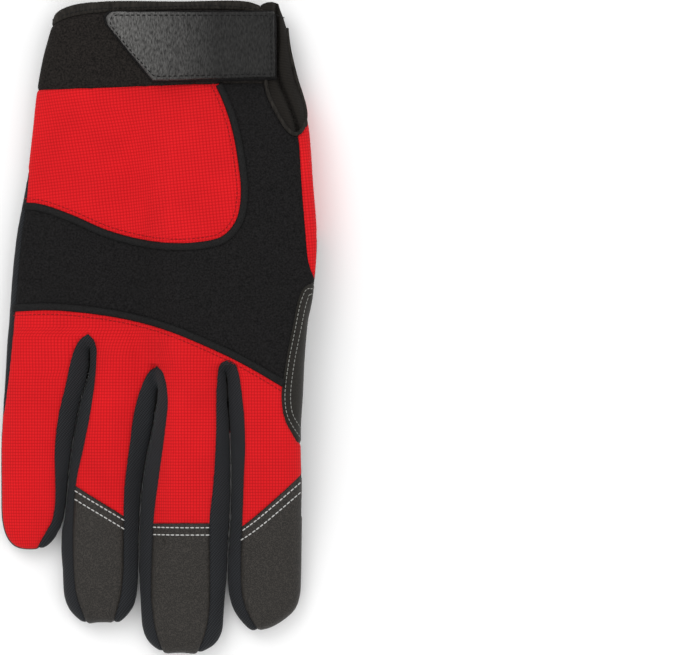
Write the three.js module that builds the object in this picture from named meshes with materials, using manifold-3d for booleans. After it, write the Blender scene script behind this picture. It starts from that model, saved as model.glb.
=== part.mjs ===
// A mechanic glove for a right hand. It lies back up with the thumb folded flat under the palm.
// Millimetres, +Z up. The fingers point to -Y, the cuff's mouth to +Y and the thumb side to +X.
import * as THREE from 'three';
import { mergeVertices } from 'three/addons/utils/BufferGeometryUtils.js';
import Module from 'manifold-3d';

// Driving sizes
const gloveLength = 247.6;
const gloveWidth = 120.5;
const cuffThickness = 19;
const handThickness = 15.5;
const thumbThickness = 10.5;
const pinkyThickness = 13;
const ringThickness = 14.5;
const middleThickness = 15;
const indexThickness = 14.5;
const rootThickness = 23;

const stretchWall = 1.2;
const neopreneWall = 1.6;
const suedeWall = 1.2;
const knitWall = 1.1;
const leatherWall = 1.4;
const bindingWall = 2.4;
const strapWall = 1.5;
const strapFaceWall = 1.1;
const padThickness = 1.5;

const gap = 0.3;
const capProud = 0.3;
const bindingProud = 0.5;
const pipingProud = 0.8;
const pipingWidth = 2.8;
const ventBindingWidth = 2.2;
const gussetDepth = 0.6;
const thumbClearance = 0.4;
const bottomFlatness = 1;
const seamStep = 17;
const farAway = 200;
const pastTheTips = 1.1;
const mouthRun = 5;
const leastReach = 0.4;
const leastRise = 0.25;
const leastLift = 0.2;
const tipTaper = 0.5;
const sharpestMitre = 0.5;
const weldDistance = 1e-5;

const wasm = await Module();
wasm.setup();

// Places are [across, along]. Across is a share of gloveWidth from the centre line, the thumb side
// positive, and along is a share of gloveLength from the rim to the tip of the middle finger.
const across = (share) => share * gloveWidth;
const along = (share) => gloveLength * (0.5 - share);
const spot = ([x, y]) => new THREE.Vector2(across(x), along(y));

// How the underside lies. Each row is a station along the glove, how much of the pad's height the hand
// stands off the surface, and how much of the folded thumb's thickness lifts its thumb side.
const lieOfTheHand = [
  { along: -0.1, stand: 0.25, lift: 0 },
  { along: 0.13, stand: 0.25, lift: 0.06 },
  { along: 0.165, stand: 1, lift: 0.35 },
  { along: 0.2, stand: 1, lift: 0.62 },
  { along: 0.27, stand: 1, lift: 1 },
  { along: 0.66, stand: 1, lift: 1 },
  { along: 0.7, stand: 1, lift: 0.95 },
  { along: 0.77, stand: 0.06, lift: 0.62 },
  { along: 0.84, stand: 0.06, lift: 0.25 },
  { along: 0.91, stand: 0.06, lift: 0 },
  { along: 1.1, stand: 0.06, lift: 0 },
];
const foldStart = -0.074;
const foldEnd = 0.068;
const cuffEnd = 0.138;
const pastTheSides = 0.9;

const padStack = padThickness + gap;
const liftHeight = thumbThickness + thumbClearance;

function readRow(rows, station, column) {
  let next = rows.findIndex((row) => row.along > station);
  if (next === 0) next = 1;
  if (next < 0) next = rows.length - 1;
  const before = rows[next - 1];
  const after = rows[next];
  const share = THREE.MathUtils.clamp((station - before.along) / (after.along - before.along), 0, 1);
  return THREE.MathUtils.lerp(before[column], after[column], share);
}

const liftAt = (y) => readRow(lieOfTheHand, 0.5 - y / gloveLength, 'lift');

function undersideAt(x, y) {
  const stand = padStack * readRow(lieOfTheHand, 0.5 - y / gloveLength, 'stand');
  const climb = THREE.MathUtils.smoothstep(x, across(foldStart), across(foldEnd));
  return stand + liftAt(y) * liftHeight * climb;
}

// Sections of each hollow form. A row is its station along the glove, its left and right edges, and its
// lowest and highest point as shares of the form's thickness.
const handRows = [
  { along: 0.0, left: -0.317, right: 0.377, low: 0, high: 1 },
  { along: 0.037, left: -0.339, right: 0.402, low: 0, high: 1 },
  { along: 0.089, left: -0.368, right: 0.421, low: 0, high: 1 },
  { along: 0.138, left: -0.386, right: 0.45, low: 0, high: 0.95 },
  { along: 0.196, left: -0.399, right: 0.475, low: 0, high: 0.89 },
  { along: 0.273, left: -0.418, right: 0.487, low: 0, high: 0.84 },
  { along: 0.368, left: -0.453, right: 0.5, low: 0, high: 0.82 },
  { along: 0.442, left: -0.468, right: 0.491, low: 0, high: 0.81 },
  { along: 0.508, left: -0.475, right: 0.465, low: 0, high: 0.8 },
  { along: 0.532, left: -0.21, right: 0.458, low: 0, high: 0.79 },
  { along: 0.566, left: -0.17, right: 0.44, low: 0, high: 0.76 },
];
const pinkyRows = [
  { along: 0.434, left: -0.462, right: -0.185, low: 0, high: 1.16 },
  { along: 0.528, left: -0.481, right: -0.221, low: 0, high: 1.13 },
  { along: 0.55, left: -0.484, right: -0.233, low: 0, high: 1.12 },
  { along: 0.626, left: -0.494, right: -0.257, low: 0, high: 1.05 },
  { along: 0.695, left: -0.5, right: -0.29, low: 0, high: 1 },
  { along: 0.772, left: -0.497, right: -0.3, low: 0, high: 0.93 },
  { along: 0.826, left: -0.465, right: -0.336, low: 0.08, high: 0.74 },
  { along: 0.84, left: -0.424, right: -0.38, low: 0.24, high: 0.55 },
];
const ringRows = [
  { along: 0.434, left: -0.26, right: 0.03, low: 0, high: 1.05 },
  { along: 0.528, left: -0.226, right: 0.003, low: 0, high: 1.06 },
  { along: 0.573, left: -0.225, right: -0.004, low: 0, high: 1.03 },
  { along: 0.6, left: -0.238, right: -0.022, low: 0, high: 1.01 },
  { along: 0.695, left: -0.282, right: -0.049, low: 0, high: 0.98 },
  { along: 0.772, left: -0.29, right: -0.063, low: 0, high: 0.95 },
  { along: 0.903, left: -0.304, right: -0.069, low: 0, high: 0.84 },
  { along: 0.933, left: -0.285, right: -0.087, low: 0.05, high: 0.75 },
  { along: 0.952, left: -0.248, right: -0.128, low: 0.22, high: 0.58 },
];
const middleRows = [
  { along: 0.434, left: -0.058, right: 0.27, low: 0, high: 1.02 },
  { along: 0.54, left: -0.02, right: 0.232, low: 0, high: 1.02 },
  { along: 0.573, left: -0.009, right: 0.22, low: 0, high: 1.01 },
  { along: 0.6, left: -0.012, right: 0.218, low: 0, high: 1 },
  { along: 0.764, left: -0.054, right: 0.215, low: 0, high: 0.96 },
  { along: 0.933, left: -0.058, right: 0.205, low: 0, high: 0.86 },
  { along: 0.967, left: -0.046, right: 0.194, low: 0.03, high: 0.78 },
  { along: 0.988, left: -0.021, right: 0.169, low: 0.12, high: 0.66 },
  { along: 0.999, left: 0.036, right: 0.112, low: 0.26, high: 0.52 },
];
const indexRows = [
  { along: 0.434, left: 0.169, right: 0.484, low: 0, high: 1.05 },
  { along: 0.562, left: 0.217, right: 0.46, low: 0, high: 1.03 },
  { along: 0.588, left: 0.228, right: 0.456, low: 0, high: 1.02 },
  { along: 0.734, left: 0.227, right: 0.453, low: 0, high: 0.98 },
  { along: 0.826, left: 0.224, right: 0.45, low: 0, high: 0.93 },
  { along: 0.895, left: 0.221, right: 0.45, low: 0, high: 0.87 },
  { along: 0.926, left: 0.226, right: 0.44, low: 0.03, high: 0.8 },
  { along: 0.949, left: 0.254, right: 0.399, low: 0.12, high: 0.68 },
  { along: 0.961, left: 0.301, right: 0.345, low: 0.26, high: 0.54 },
];
const thumbRows = [
  { along: 0.151, left: 0.09, right: 0.425, low: 0, high: 1 },
  { along: 0.196, left: 0.068, right: 0.459, low: 0, high: 1 },
  { along: 0.273, left: 0.065, right: 0.478, low: 0, high: 1 },
  { along: 0.368, left: 0.062, right: 0.487, low: 0, high: 1 },
  { along: 0.485, left: 0.062, right: 0.434, low: 0, high: 1 },
  { along: 0.537, left: 0.065, right: 0.39, low: 0, high: 0.98 },
  { along: 0.58, left: 0.08, right: 0.345, low: 0, high: 0.95 },
  { along: 0.619, left: 0.112, right: 0.289, low: 0.03, high: 0.88 },
  { along: 0.648, left: 0.15, right: 0.251, low: 0.1, high: 0.75 },
  { along: 0.663, left: 0.188, right: 0.219, low: 0.25, high: 0.55 },
];
const rootRows = [
  { along: 0.146, left: 0.34, right: 0.446, low: 0, high: 0.55 },
  { along: 0.196, left: 0.377, right: 0.475, low: 0, high: 0.74 },
  { along: 0.273, left: 0.396, right: 0.487, low: 0, high: 0.98 },
  { along: 0.368, left: 0.402, right: 0.5, low: 0, high: 1 },
  { along: 0.419, left: 0.415, right: 0.494, low: 0, high: 0.96 },
  { along: 0.451, left: 0.436, right: 0.484, low: 0.1, high: 0.9 },
];

const onTheHand = { underside: undersideAt, height: () => 1 };
const onTheSurface = { underside: () => 0, height: () => 1 };
const underTheHand = { underside: () => 0, height: (y) => Math.max(liftAt(y), leastLift) };

// nest lays a form a hair higher than the one it joins, so that no two of their surfaces coincide.
const hair = 0.08;
const fingerForm = { sides: 10, roundness: 2.3, lies: onTheHand, tip: true, nest: hair };
const forms = [
  { rows: handRows, thickness: cuffThickness, sides: 'broad', roundness: 2.6, lies: onTheHand, mouth: true },
  { rows: pinkyRows, thickness: pinkyThickness, ...fingerForm },
  { rows: ringRows, thickness: ringThickness, ...fingerForm },
  { rows: middleRows, thickness: middleThickness, ...fingerForm },
  { rows: indexRows, thickness: indexThickness, ...fingerForm },
  { rows: rootRows, thickness: rootThickness, sides: 10, roundness: 2.3, lies: onTheSurface, nest: hair },
];
const thumbForm = {
  rows: thumbRows, thickness: thumbThickness, sides: 12, roundness: 2.4, lies: underTheHand, tip: true,
};

const power = (value, exponent) => Math.sign(value) * Math.abs(value) ** exponent;

function meshFrom(points, faces) {
  let volume = 0;
  for (const [a, b, c] of faces) {
    volume += points[a].dot(new THREE.Vector3().crossVectors(points[b], points[c]));
  }
  const geometry = new THREE.BufferGeometry();
  const corners = faces.flatMap(([a, b, c]) => (volume > 0 ? [a, b, c] : [a, c, b]));
  const places = points.flatMap((point) => [point.x, point.y, point.z]);
  geometry.setAttribute('position', new THREE.Float32BufferAttribute(places, 3));
  geometry.setIndex(corners);
  return geometry;
}

function solid(geometry) {
  geometry.deleteAttribute('normal');
  geometry.deleteAttribute('uv');
  const welded = mergeVertices(geometry, weldDistance);
  return new wasm.Manifold(new wasm.Mesh({
    numProp: 3,
    vertProperties: new Float32Array(welded.attributes.position.array),
    triVerts: new Uint32Array(welded.index.array),
  }));
}

// Triangles that close a flat ring, turned the way the ring itself runs.
function endFaces(ring) {
  const flat = ring.map((point) => new THREE.Vector2(point.x, point.z));
  const runsClockwise = THREE.ShapeUtils.isClockWise(flat);
  return THREE.ShapeUtils.triangulateShape(flat, []).map(([a, b, c]) => {
    const isClockwise = THREE.ShapeUtils.isClockWise([flat[a], flat[b], flat[c]]);
    return isClockwise === runsClockwise ? [a, b, c] : [a, c, b];
  });
}

function loft(rings) {
  const count = rings[0].length;
  const points = rings.flat();
  const faces = [];
  for (let row = 0; row < rings.length - 1; row += 1) {
    for (let k = 0; k < count; k += 1) {
      const a = row * count + k;
      const b = row * count + ((k + 1) % count);
      faces.push([a, b, b + count], [a, b + count, a + count]);
    }
  }
  const last = (rings.length - 1) * count;
  for (const [a, b, c] of endFaces(rings[0])) faces.push([a, c, b]);
  for (const [a, b, c] of endFaces(rings.at(-1))) faces.push([last + a, last + b, last + c]);
  return solid(meshFrom(points, faces));
}

// The corners of a rounded section as shares of its half width and half height. The broad hand has more
// of them under the palm, where its underside climbs over the thumb.
function sectionCorners(sides, roundness) {
  if (sides !== 'broad') {
    return Array.from({ length: sides }, (_, k) => {
      const turn = (2 * Math.PI * k) / sides;
      return [power(Math.cos(turn), 2 / roundness), power(Math.sin(turn), 2 / roundness)];
    });
  }
  const rise = (out) => (1 - Math.abs(out) ** roundness) ** (1 / roundness);
  const back = [0.97, 0.85, 0.6, 0.16, -0.16, -0.6, -0.85, -0.97].map((out) => [out, rise(out)]);
  const palm = [-0.97, -0.85, -0.5, -0.16, -0.05, 0.05, 0.16, 0.5, 0.85, 0.97];
  return [[1, 0], ...back, [-1, 0], ...palm.map((out) => [out, -rise(out)])];
}

// One form grown outwards by a distance, or shrunk where it is negative.
function grownForm(form, growth) {
  const { rows, thickness, sides, roundness, lies, mouth, tip, nest = 0 } = form;
  const rings = rows.map((row, index) => {
    const isFirst = index === 0;
    const isLast = index === rows.length - 1;
    let y = along(row.along);
    if (isFirst && mouth) y += growth < 0 ? mouthRun : 0;
    else if (isFirst) y += growth;
    if (isLast) y -= growth;
    const narrowing = isLast && tip ? tipTaper : 1;
    const middle = across((row.left + row.right) / 2);
    const reach = Math.max(across((row.right - row.left) / 2) + growth * narrowing, leastReach);
    const top = row.high * thickness * lies.height(y);
    const bottom = row.low * thickness * lies.height(y) - bottomFlatness;
    const centre = Math.max((top + bottom) / 2, leastRise - growth);
    const rise = Math.max((top - bottom) / 2 + growth * narrowing, leastRise);
    const ring = [];
    for (const [out, up] of sectionCorners(sides, roundness)) {
      const x = middle + reach * out;
      const z = centre + rise * up;
      const floor = lies.underside(x, y);
      ring.push(new THREE.Vector3(x, y, Math.max(floor + nest + Math.max(z, -growth), 0)));
    }
    return ring;
  });
  return loft(rings);
}

const union = (parts) => parts.reduce((whole, part) => whole.add(part));
const grownCache = new Map();
function grown(name, growth) {
  const key = `${name} ${growth}`;
  if (!grownCache.has(key)) {
    const list = name === 'hand' ? forms : [...forms, thumbForm];
    grownCache.set(key, union(list.map((form) => grownForm(form, growth))));
  }
  return grownCache.get(key);
}
const wall = (name, outer, inner) => grown(name, outer).subtract(grown(name, inner));

// Flat outlines, cut straight down through the glove.
function smooth(points, closed = false) {
  const flat = points.map(spot);
  if (flat.length < 3) return flat;
  const places = flat.map((point) => new THREE.Vector3(point.x, point.y, 0));
  const curve = new THREE.CatmullRomCurve3(places, closed, 'centripetal');
  const steps = Math.max(Math.ceil(curve.getLength() / seamStep), 3);
  const samples = curve.getSpacedPoints(steps);
  if (closed) samples.pop();
  return samples.map((p) => new THREE.Vector2(p.x, p.y));
}

function grownOutline(points, growth) {
  if (growth === 0) return points;
  const direction = THREE.ShapeUtils.isClockWise(points) ? -1 : 1;
  return points.map((point, index) => {
    const before = points[(index + points.length - 1) % points.length];
    const after = points[(index + 1) % points.length];
    const into = point.clone().sub(before).normalize();
    const out = after.clone().sub(point).normalize();
    const normal = new THREE.Vector2(into.y + out.y, -into.x - out.x).normalize();
    const spread = Math.max(normal.dot(new THREE.Vector2(into.y, -into.x)), sharpestMitre);
    return point.clone().addScaledVector(normal, (direction * growth) / spread);
  });
}

function prism(points, growth = 0, bottom = -farAway, top = farAway) {
  const outline = grownOutline(points, growth);
  const shape = new THREE.Shape(outline);
  const geometry = new THREE.ExtrudeGeometry(shape, { depth: top - bottom, bevelEnabled: false });
  geometry.translate(0, 0, bottom);
  return solid(geometry);
}

// Everything on the fingers' side of a curve that runs across the glove.
function beyond(curve, growth = 0) {
  const first = curve[0];
  const last = curve[curve.length - 1];
  const corners = [
    new THREE.Vector2(-farAway, first.y),
    ...curve,
    new THREE.Vector2(farAway, last.y),
    new THREE.Vector2(farAway, -2 * farAway),
    new THREE.Vector2(-farAway, -2 * farAway),
  ];
  return prism(corners, growth);
}

function ribbon(curve, width) {
  const sides = [1, -1].map((side) => curve.map((point, index) => {
    const before = curve[Math.max(index - 1, 0)];
    const after = curve[Math.min(index + 1, curve.length - 1)];
    const run = after.clone().sub(before).normalize();
    return point.clone().add(new THREE.Vector2(-run.y, run.x).multiplyScalar((side * width) / 2));
  }));
  return [...sides[0], ...sides[1].reverse()];
}

// The half of the glove above a surface through the middle of its walls.
function upperHalf(shift) {
  const breaks = [-pastTheSides, foldStart, (foldStart + foldEnd) / 2, foldEnd, pastTheSides];
  const rings = [-0.1, ...lieOfTheHand.slice(1, -1).map((row) => row.along), 1.1].map((station) => {
    const y = along(station);
    const half = (station < cuffEnd ? cuffThickness : handThickness) / 2 - bottomFlatness;
    const ring = breaks.map((x) => new THREE.Vector3(across(x), y, undersideAt(across(x), y) + half + shift));
    for (const x of [pastTheSides, -pastTheSides]) ring.push(new THREE.Vector3(across(x), y, farAway));
    return ring;
  });
  return loft(rings);
}

// Seams of the back
const cuffSeam = smooth([[-0.55, 0.137], [-0.396, 0.135], [-0.216, 0.133], [0.005, 0.129], [0.21, 0.126],
  [0.55, 0.126]]);
const rimEdge = smooth([[-0.36, 0.04], [-0.33, 0.018], [-0.279, 0.006], [-0.181, 0], [0.068, 0], [0.282, 0],
  [0.333, 0.008], [0.42, 0.018]]);
const rimHem = smooth([[-0.38, 0.052], [-0.323, 0.031], [-0.248, 0.02], [-0.027, 0.014], [0.289, 0.015],
  [0.42, 0.034]]);
const upperWelt = smooth([[-0.46, 0.311], [-0.437, 0.313], [-0.374, 0.316], [-0.279, 0.332], [-0.153, 0.358],
  [0.005, 0.375], [0.131, 0.375], [0.21, 0.365], [0.257, 0.338], [0.273, 0.296], [0.263, 0.243],
  [0.241, 0.189], [0.213, 0.15], [0.191, 0.126], [0.185, 0.115]]);
const lowerWelt = smooth([[-0.5, 0.47], [-0.462, 0.47], [-0.342, 0.468], [-0.216, 0.473], [-0.09, 0.483],
  [0.036, 0.5], [0.162, 0.525], [0.273, 0.551], [0.393, 0.585], [0.42, 0.592]]);
const pinkySide = smooth([[-0.4, 0.1], [-0.396, 0.135], [-0.409, 0.227], [-0.42, 0.304], [-0.431, 0.358],
  [-0.446, 0.442], [-0.459, 0.519], [-0.475, 0.589], [-0.491, 0.657], [-0.52, 0.7]]);
const thumbSide = smooth([[0.434, 0.18], [0.446, 0.221], [0.453, 0.276], [0.465, 0.35], [0.478, 0.405],
  [0.51, 0.436]]);
const patchEdge = smooth([[0.51, 0.436], [0.465, 0.437], [0.446, 0.454], [0.424, 0.503], [0.402, 0.559],
  [0.39, 0.608], [0.402, 0.642], [0.44, 0.675]]);

// Seams of the finger backs, each from its crotch to the tip
const pinkyBackRight = smooth([[-0.222, 0.51], [-0.248, 0.52], [-0.27, 0.543], [-0.292, 0.589],
  [-0.314, 0.635], [-0.326, 0.685], [-0.326, 0.772], [-0.336, 0.798], [-0.355, 0.815]]);
const ringBackLeft = smooth([[-0.222, 0.51], [-0.203, 0.522], [-0.202, 0.571], [-0.216, 0.626],
  [-0.238, 0.682], [-0.263, 0.737], [-0.271, 0.78], [-0.274, 0.893], [-0.262, 0.925]]);
const ringBackRight = smooth([[-0.008, 0.56], [-0.03, 0.569], [-0.052, 0.589], [-0.074, 0.626],
  [-0.09, 0.682], [-0.107, 0.749], [-0.109, 0.81], [-0.11, 0.893], [-0.121, 0.921]]);
const middleBackLeft = smooth([[-0.008, 0.56], [0.011, 0.569], [0.027, 0.608], [0.017, 0.663],
  [-0.002, 0.731], [-0.017, 0.787], [-0.024, 0.856], [-0.027, 0.903], [-0.021, 0.956], [-0.002, 0.98]]);
const middleBackRight = smooth([[0.222, 0.55], [0.2, 0.556], [0.188, 0.589], [0.185, 0.663], [0.175, 0.743],
  [0.162, 0.795], [0.162, 0.893], [0.153, 0.956], [0.137, 0.98]]);
const indexBackLeft = smooth([[0.222, 0.55], [0.244, 0.559], [0.263, 0.605], [0.273, 0.672], [0.268, 0.734],
  [0.263, 0.795], [0.256, 0.878], [0.259, 0.918], [0.276, 0.94]]);
const indexBackRight = smooth([[0.44, 0.675], [0.445, 0.718], [0.446, 0.795], [0.446, 0.895], [0.425, 0.93]]);

// Seams of the finger fronts, on the palm side
const pinkyFrontRight = smooth([[-0.232, 0.572], [-0.267, 0.586], [-0.311, 0.646], [-0.342, 0.718],
  [-0.345, 0.78], [-0.352, 0.815]]);
const ringFrontLeft = smooth([[-0.232, 0.572], [-0.2, 0.611], [-0.216, 0.672], [-0.241, 0.734],
  [-0.251, 0.81], [-0.254, 0.903], [-0.25, 0.925]]);
const ringFrontRight = smooth([[-0.027, 0.622], [-0.062, 0.649], [-0.08, 0.688], [-0.099, 0.749],
  [-0.103, 0.81], [-0.109, 0.903], [-0.121, 0.921]]);
const middleFrontLeft = smooth([[-0.027, 0.622], [0.017, 0.657], [0.014, 0.718], [-0.005, 0.81],
  [-0.008, 0.918], [0.004, 0.98]]);
const middleFrontRight = smooth([[0.219, 0.619], [0.185, 0.657], [0.169, 0.718], [0.162, 0.81],
  [0.159, 0.918], [0.137, 0.98]]);
const indexFrontLeft = smooth([[0.219, 0.619], [0.263, 0.657], [0.273, 0.718], [0.27, 0.81], [0.267, 0.903],
  [0.28, 0.94]]);

const pinkyTip = [[-0.53, 0.78], [-0.52, 0.87], [-0.36, 0.87]].map(spot);
const ringTip = [[-0.262, 0.99], [-0.121, 0.99]].map(spot);
const middleTip = [[-0.002, 1.04], [0.137, 1.04]].map(spot);
const indexTip = [[0.276, 1.0], [0.425, 1.0]].map(spot);
const indexOuterSide = [[0.6, 0.66], [0.6, 1]].map(spot);
const reversed = (curve) => [...curve].reverse();

// The fingertip caps: where their seams cross the finger's back and front, the outlines of both, the tip
// beyond them, and the column from one side of the finger to the other in which the cap wraps the tip.
const fingertips = {
  ring: {
    backSeam: [[-0.311, 0.728], [-0.267, 0.743], [-0.109, 0.79], [-0.058, 0.806]],
    frontSeam: [[-0.4, 0.825], [0, 0.825]],
    back: [ringBackLeft, ringBackRight],
    front: [ringFrontLeft, ringFrontRight],
    tip: ringTip,
    column: { from: -0.4, to: -0.075, start: 0.925 },
  },
  middle: {
    backSeam: [[-0.1, 0.801], [0.25, 0.801]],
    frontSeam: [[-0.1, 0.834], [0.25, 0.834]],
    back: [middleBackLeft, middleBackRight],
    front: [middleFrontLeft, middleFrontRight],
    tip: middleTip,
    column: { from: -0.062, to: 0.214, start: 0.975 },
  },
  index: {
    backSeam: [[0.2, 0.823], [0.267, 0.804], [0.443, 0.731], [0.478, 0.712]],
    frontSeam: [[0.2, 0.79], [0.27, 0.79], [0.5, 0.783]],
    back: [indexBackLeft, indexOuterSide],
    front: [indexFrontLeft, indexOuterSide],
    tip: indexTip,
    column: { from: 0.215, to: 0.6, start: 0.935 },
  },
};

const backOutline = [
  ...pinkySide, ...pinkyTip, ...reversed(pinkyBackRight),
  ...ringBackLeft.slice(1), ...ringTip, ...reversed(ringBackRight),
  ...middleBackLeft.slice(1), ...middleTip, ...reversed(middleBackRight),
  ...indexBackLeft.slice(1), ...indexTip, ...reversed(indexBackRight),
  ...reversed(patchEdge).slice(1), ...reversed(thumbSide).slice(1),
  ...[[0.44, 0.1]].map(spot),
];

// Zones that the walls are cut into. Each gives its own space, grown by a clearance on request.
const halves = { level: upperHalf(0), lowered: upperHalf(-gap), raised: upperHalf(gap) };
const above = (growth) => (growth > 0 ? halves.lowered : halves.level);
const below = (space, growth) => space.subtract(growth > 0 ? halves.raised : halves.level);

const ventOutline = smooth([[0.31, -0.06], [0.326, 0.058], [0.345, 0.127], [0.364, 0.163], [0.402, 0.193],
  [0.425, 0.205], [0.443, 0.181], [0.44, 0.138], [0.415, 0.089], [0.395, -0.06]]);
const ventSpace = (growth) => prism(ventOutline, ventBindingWidth + growth).intersect(above(growth));
const backSpace = (growth) => prism(backOutline, growth).intersect(beyond(cuffSeam, growth))
  .intersect(above(growth));
const weltSpace = (curve) => (growth) => prism(ribbon(curve, pipingWidth), growth)
  .intersect(prism(backOutline, growth - gap)).intersect(above(growth));

const panelOutline = [
  ...[[-0.6, 0.08], [0.185, 0.08]].map(spot), ...reversed(upperWelt), ...[[-0.6, 0.311]].map(spot),
];

function capSpace({ backSeam, frontSeam, back, front, tip, column }) {
  const { from, to, start } = column;
  const inside = ([left, right]) => [...left, ...tip, ...reversed(right)];
  const wrap = [[from, start], [to, start], [to, pastTheTips], [from, pastTheTips]].map(spot);
  return (growth) => {
    const over = prism(inside(back), growth).intersect(beyond(backSeam.map(spot), growth));
    const under = prism(inside(front), growth).intersect(beyond(frontSeam.map(spot), growth));
    return over.intersect(above(growth)).add(below(under, growth)).add(prism(wrap, growth));
  };
}

function fourchetteSpace(backLeft, frontLeft, ends, backRight, frontRight) {
  const outer = ends.map(spot);
  return (growth) => {
    const over = prism([...backLeft, ...outer, ...reversed(backRight)], growth);
    const under = prism([...frontLeft, ...outer, ...reversed(frontRight)], growth);
    return over.intersect(above(growth)).add(below(under, growth));
  };
}
const pinkyRingSpace = fourchetteSpace(pinkyBackRight, pinkyFrontRight,
  [[-0.3, 0.822], [-0.318, 0.86], [-0.33, 0.925]], ringBackLeft, ringFrontLeft);
const ringMiddleSpace = fourchetteSpace(ringBackRight, ringFrontRight,
  [[-0.068, 0.924], [-0.065, 0.94], [-0.07, 0.978]], middleBackLeft, middleFrontLeft);
const middleIndexSpace = fourchetteSpace(middleBackRight, middleFrontRight,
  [[0.214, 0.98], [0.216, 0.95], [0.24, 0.944]], indexBackLeft, indexFrontLeft);

// The thumb
const thumbTop = thumbThickness + thumbClearance / 2;
const halfThumb = thumbThickness / 2 - bottomFlatness / 2;
const redOutline = [...smooth([[0.166, 0.1], [0.166, 0.36], [0.15, 0.39], [0.135, 0.47], [0.124, 0.53],
  [0.14, 0.59], [0.175, 0.64], [0.2, 0.68]]), ...smooth([[0.24, 0.68], [0.262, 0.642], [0.318, 0.585],
  [0.372, 0.53], [0.42, 0.475], [0.455, 0.425], [0.47, 0.365], [0.56, 0.36]]), ...[[0.56, 0.1]].map(spot)];
const sideOutline = [...thumbSide, ...[[0.6, 0.436], [0.6, 0.1], [0.434, 0.1]].map(spot)];
const sideWallOutline = [[0.43, 0.1], [0.6, 0.1], [0.6, 0.43], [0.43, 0.43]].map(spot);
const patchOutline = [...patchEdge, ...[[0.5, 0.69], [0.6, 0.69], [0.6, 0.436]].map(spot)];
const patchOnThumb = [...smooth([[0.56, 0.36], [0.47, 0.365], [0.455, 0.425], [0.42, 0.475], [0.372, 0.53],
  [0.318, 0.585]]), ...[[0.4, 0.6], [0.6, 0.5]].map(spot)];
const tipOutline = [[0, 0.508], [0.124, 0.505], [0.124, 0.53], [0.14, 0.59], [0.175, 0.64], [0.2, 0.7],
  [0, 0.7]].map(spot);

const pastTheCuff = (growth) => beyond(cuffSeam, growth);
const thumbZone = (growth) => grownForm(thumbForm, growth).intersect(pastTheCuff(growth));
const patchZone = (growth) => prism(patchOutline, growth)
  .add(prism(patchOnThumb, growth, -farAway, thumbTop + growth));
const redZone = (growth) => prism(redOutline, growth, -farAway, halfThumb + growth)
  .add(prism(sideOutline, growth, halfThumb - gap))
  .add(below(prism(sideWallOutline, growth, halfThumb - gap), 0))
  .intersect(pastTheCuff(growth)).subtract(patchZone(gap - growth));
const tipZone = (growth) => prism(tipOutline, growth).intersect(thumbZone(growth))
  .subtract(prism(redOutline, gap - growth, -farAway, halfThumb + gap - growth));

// Grip pads on the palm
const heelPadOutline = smooth([[0.145, 0.24], [0.115, 0.204], [0.049, 0.183], [-0.062, 0.17], [-0.188, 0.169],
  [-0.298, 0.181], [-0.371, 0.204], [-0.415, 0.239], [-0.44, 0.281], [-0.452, 0.327], [-0.45, 0.373],
  [-0.436, 0.393], [-0.377, 0.419], [-0.267, 0.447], [-0.125, 0.468], [0.002, 0.48], [0.1, 0.48],
  [0.16, 0.46], [0.17, 0.35]], true);
const knucklePadOutline = smooth([[0.36, 0.51], [0.2, 0.5], [0.08, 0.494], [-0.046, 0.49], [-0.172, 0.474],
  [-0.282, 0.453], [-0.361, 0.437], [-0.424, 0.434], [-0.458, 0.448], [-0.475, 0.476], [-0.475, 0.507],
  [-0.462, 0.531], [-0.424, 0.543], [-0.298, 0.546], [-0.257, 0.562], [-0.222, 0.585], [-0.205, 0.629],
  [-0.185, 0.657], [-0.14, 0.668], [-0.095, 0.655], [-0.07, 0.623], [-0.058, 0.585], [-0.035, 0.556],
  [-0.004, 0.548], [0.027, 0.562], [0.042, 0.605], [0.06, 0.654], [0.11, 0.67], [0.16, 0.655], [0.185, 0.61],
  [0.2, 0.562], [0.222, 0.545], [0.245, 0.562], [0.26, 0.61], [0.275, 0.65], [0.315, 0.662], [0.35, 0.645],
  [0.37, 0.6], [0.375, 0.545]], true);

// Strap
const strapOutline = [[-0.169, 0.028], [-0.144, 0.02], [0.362, 0.018], [0.371, 0.023], [0.376, 0.12],
  [-0.021, 0.124], [-0.1, 0.074]].map(spot);
const strapFaceOutline = [[-0.166, 0.03], [-0.141, 0.022], [0.356, 0.022], [0.361, 0.068], [0.364, 0.116],
  [-0.018, 0.12], [-0.095, 0.074]].map(spot);

// Each wall less the zones of the pieces that were sewn in before it
function cut(shell, zones) {
  return zones.reduce((left, zone) => left.subtract(zone(gap)), shell);
}

const caps = Object.entries(fingertips).map(([name, fingertip]) => [name, capSpace(fingertip)]);
const capSpaces = caps.map(([, space]) => space);
const panelZone = (growth) => prism(panelOutline, growth);
const upperWeltSpace = weltSpace(upperWelt);
const lowerWeltSpace = weltSpace(lowerWelt);
const lowerZone = (growth) => beyond(lowerWelt, growth);

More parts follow.
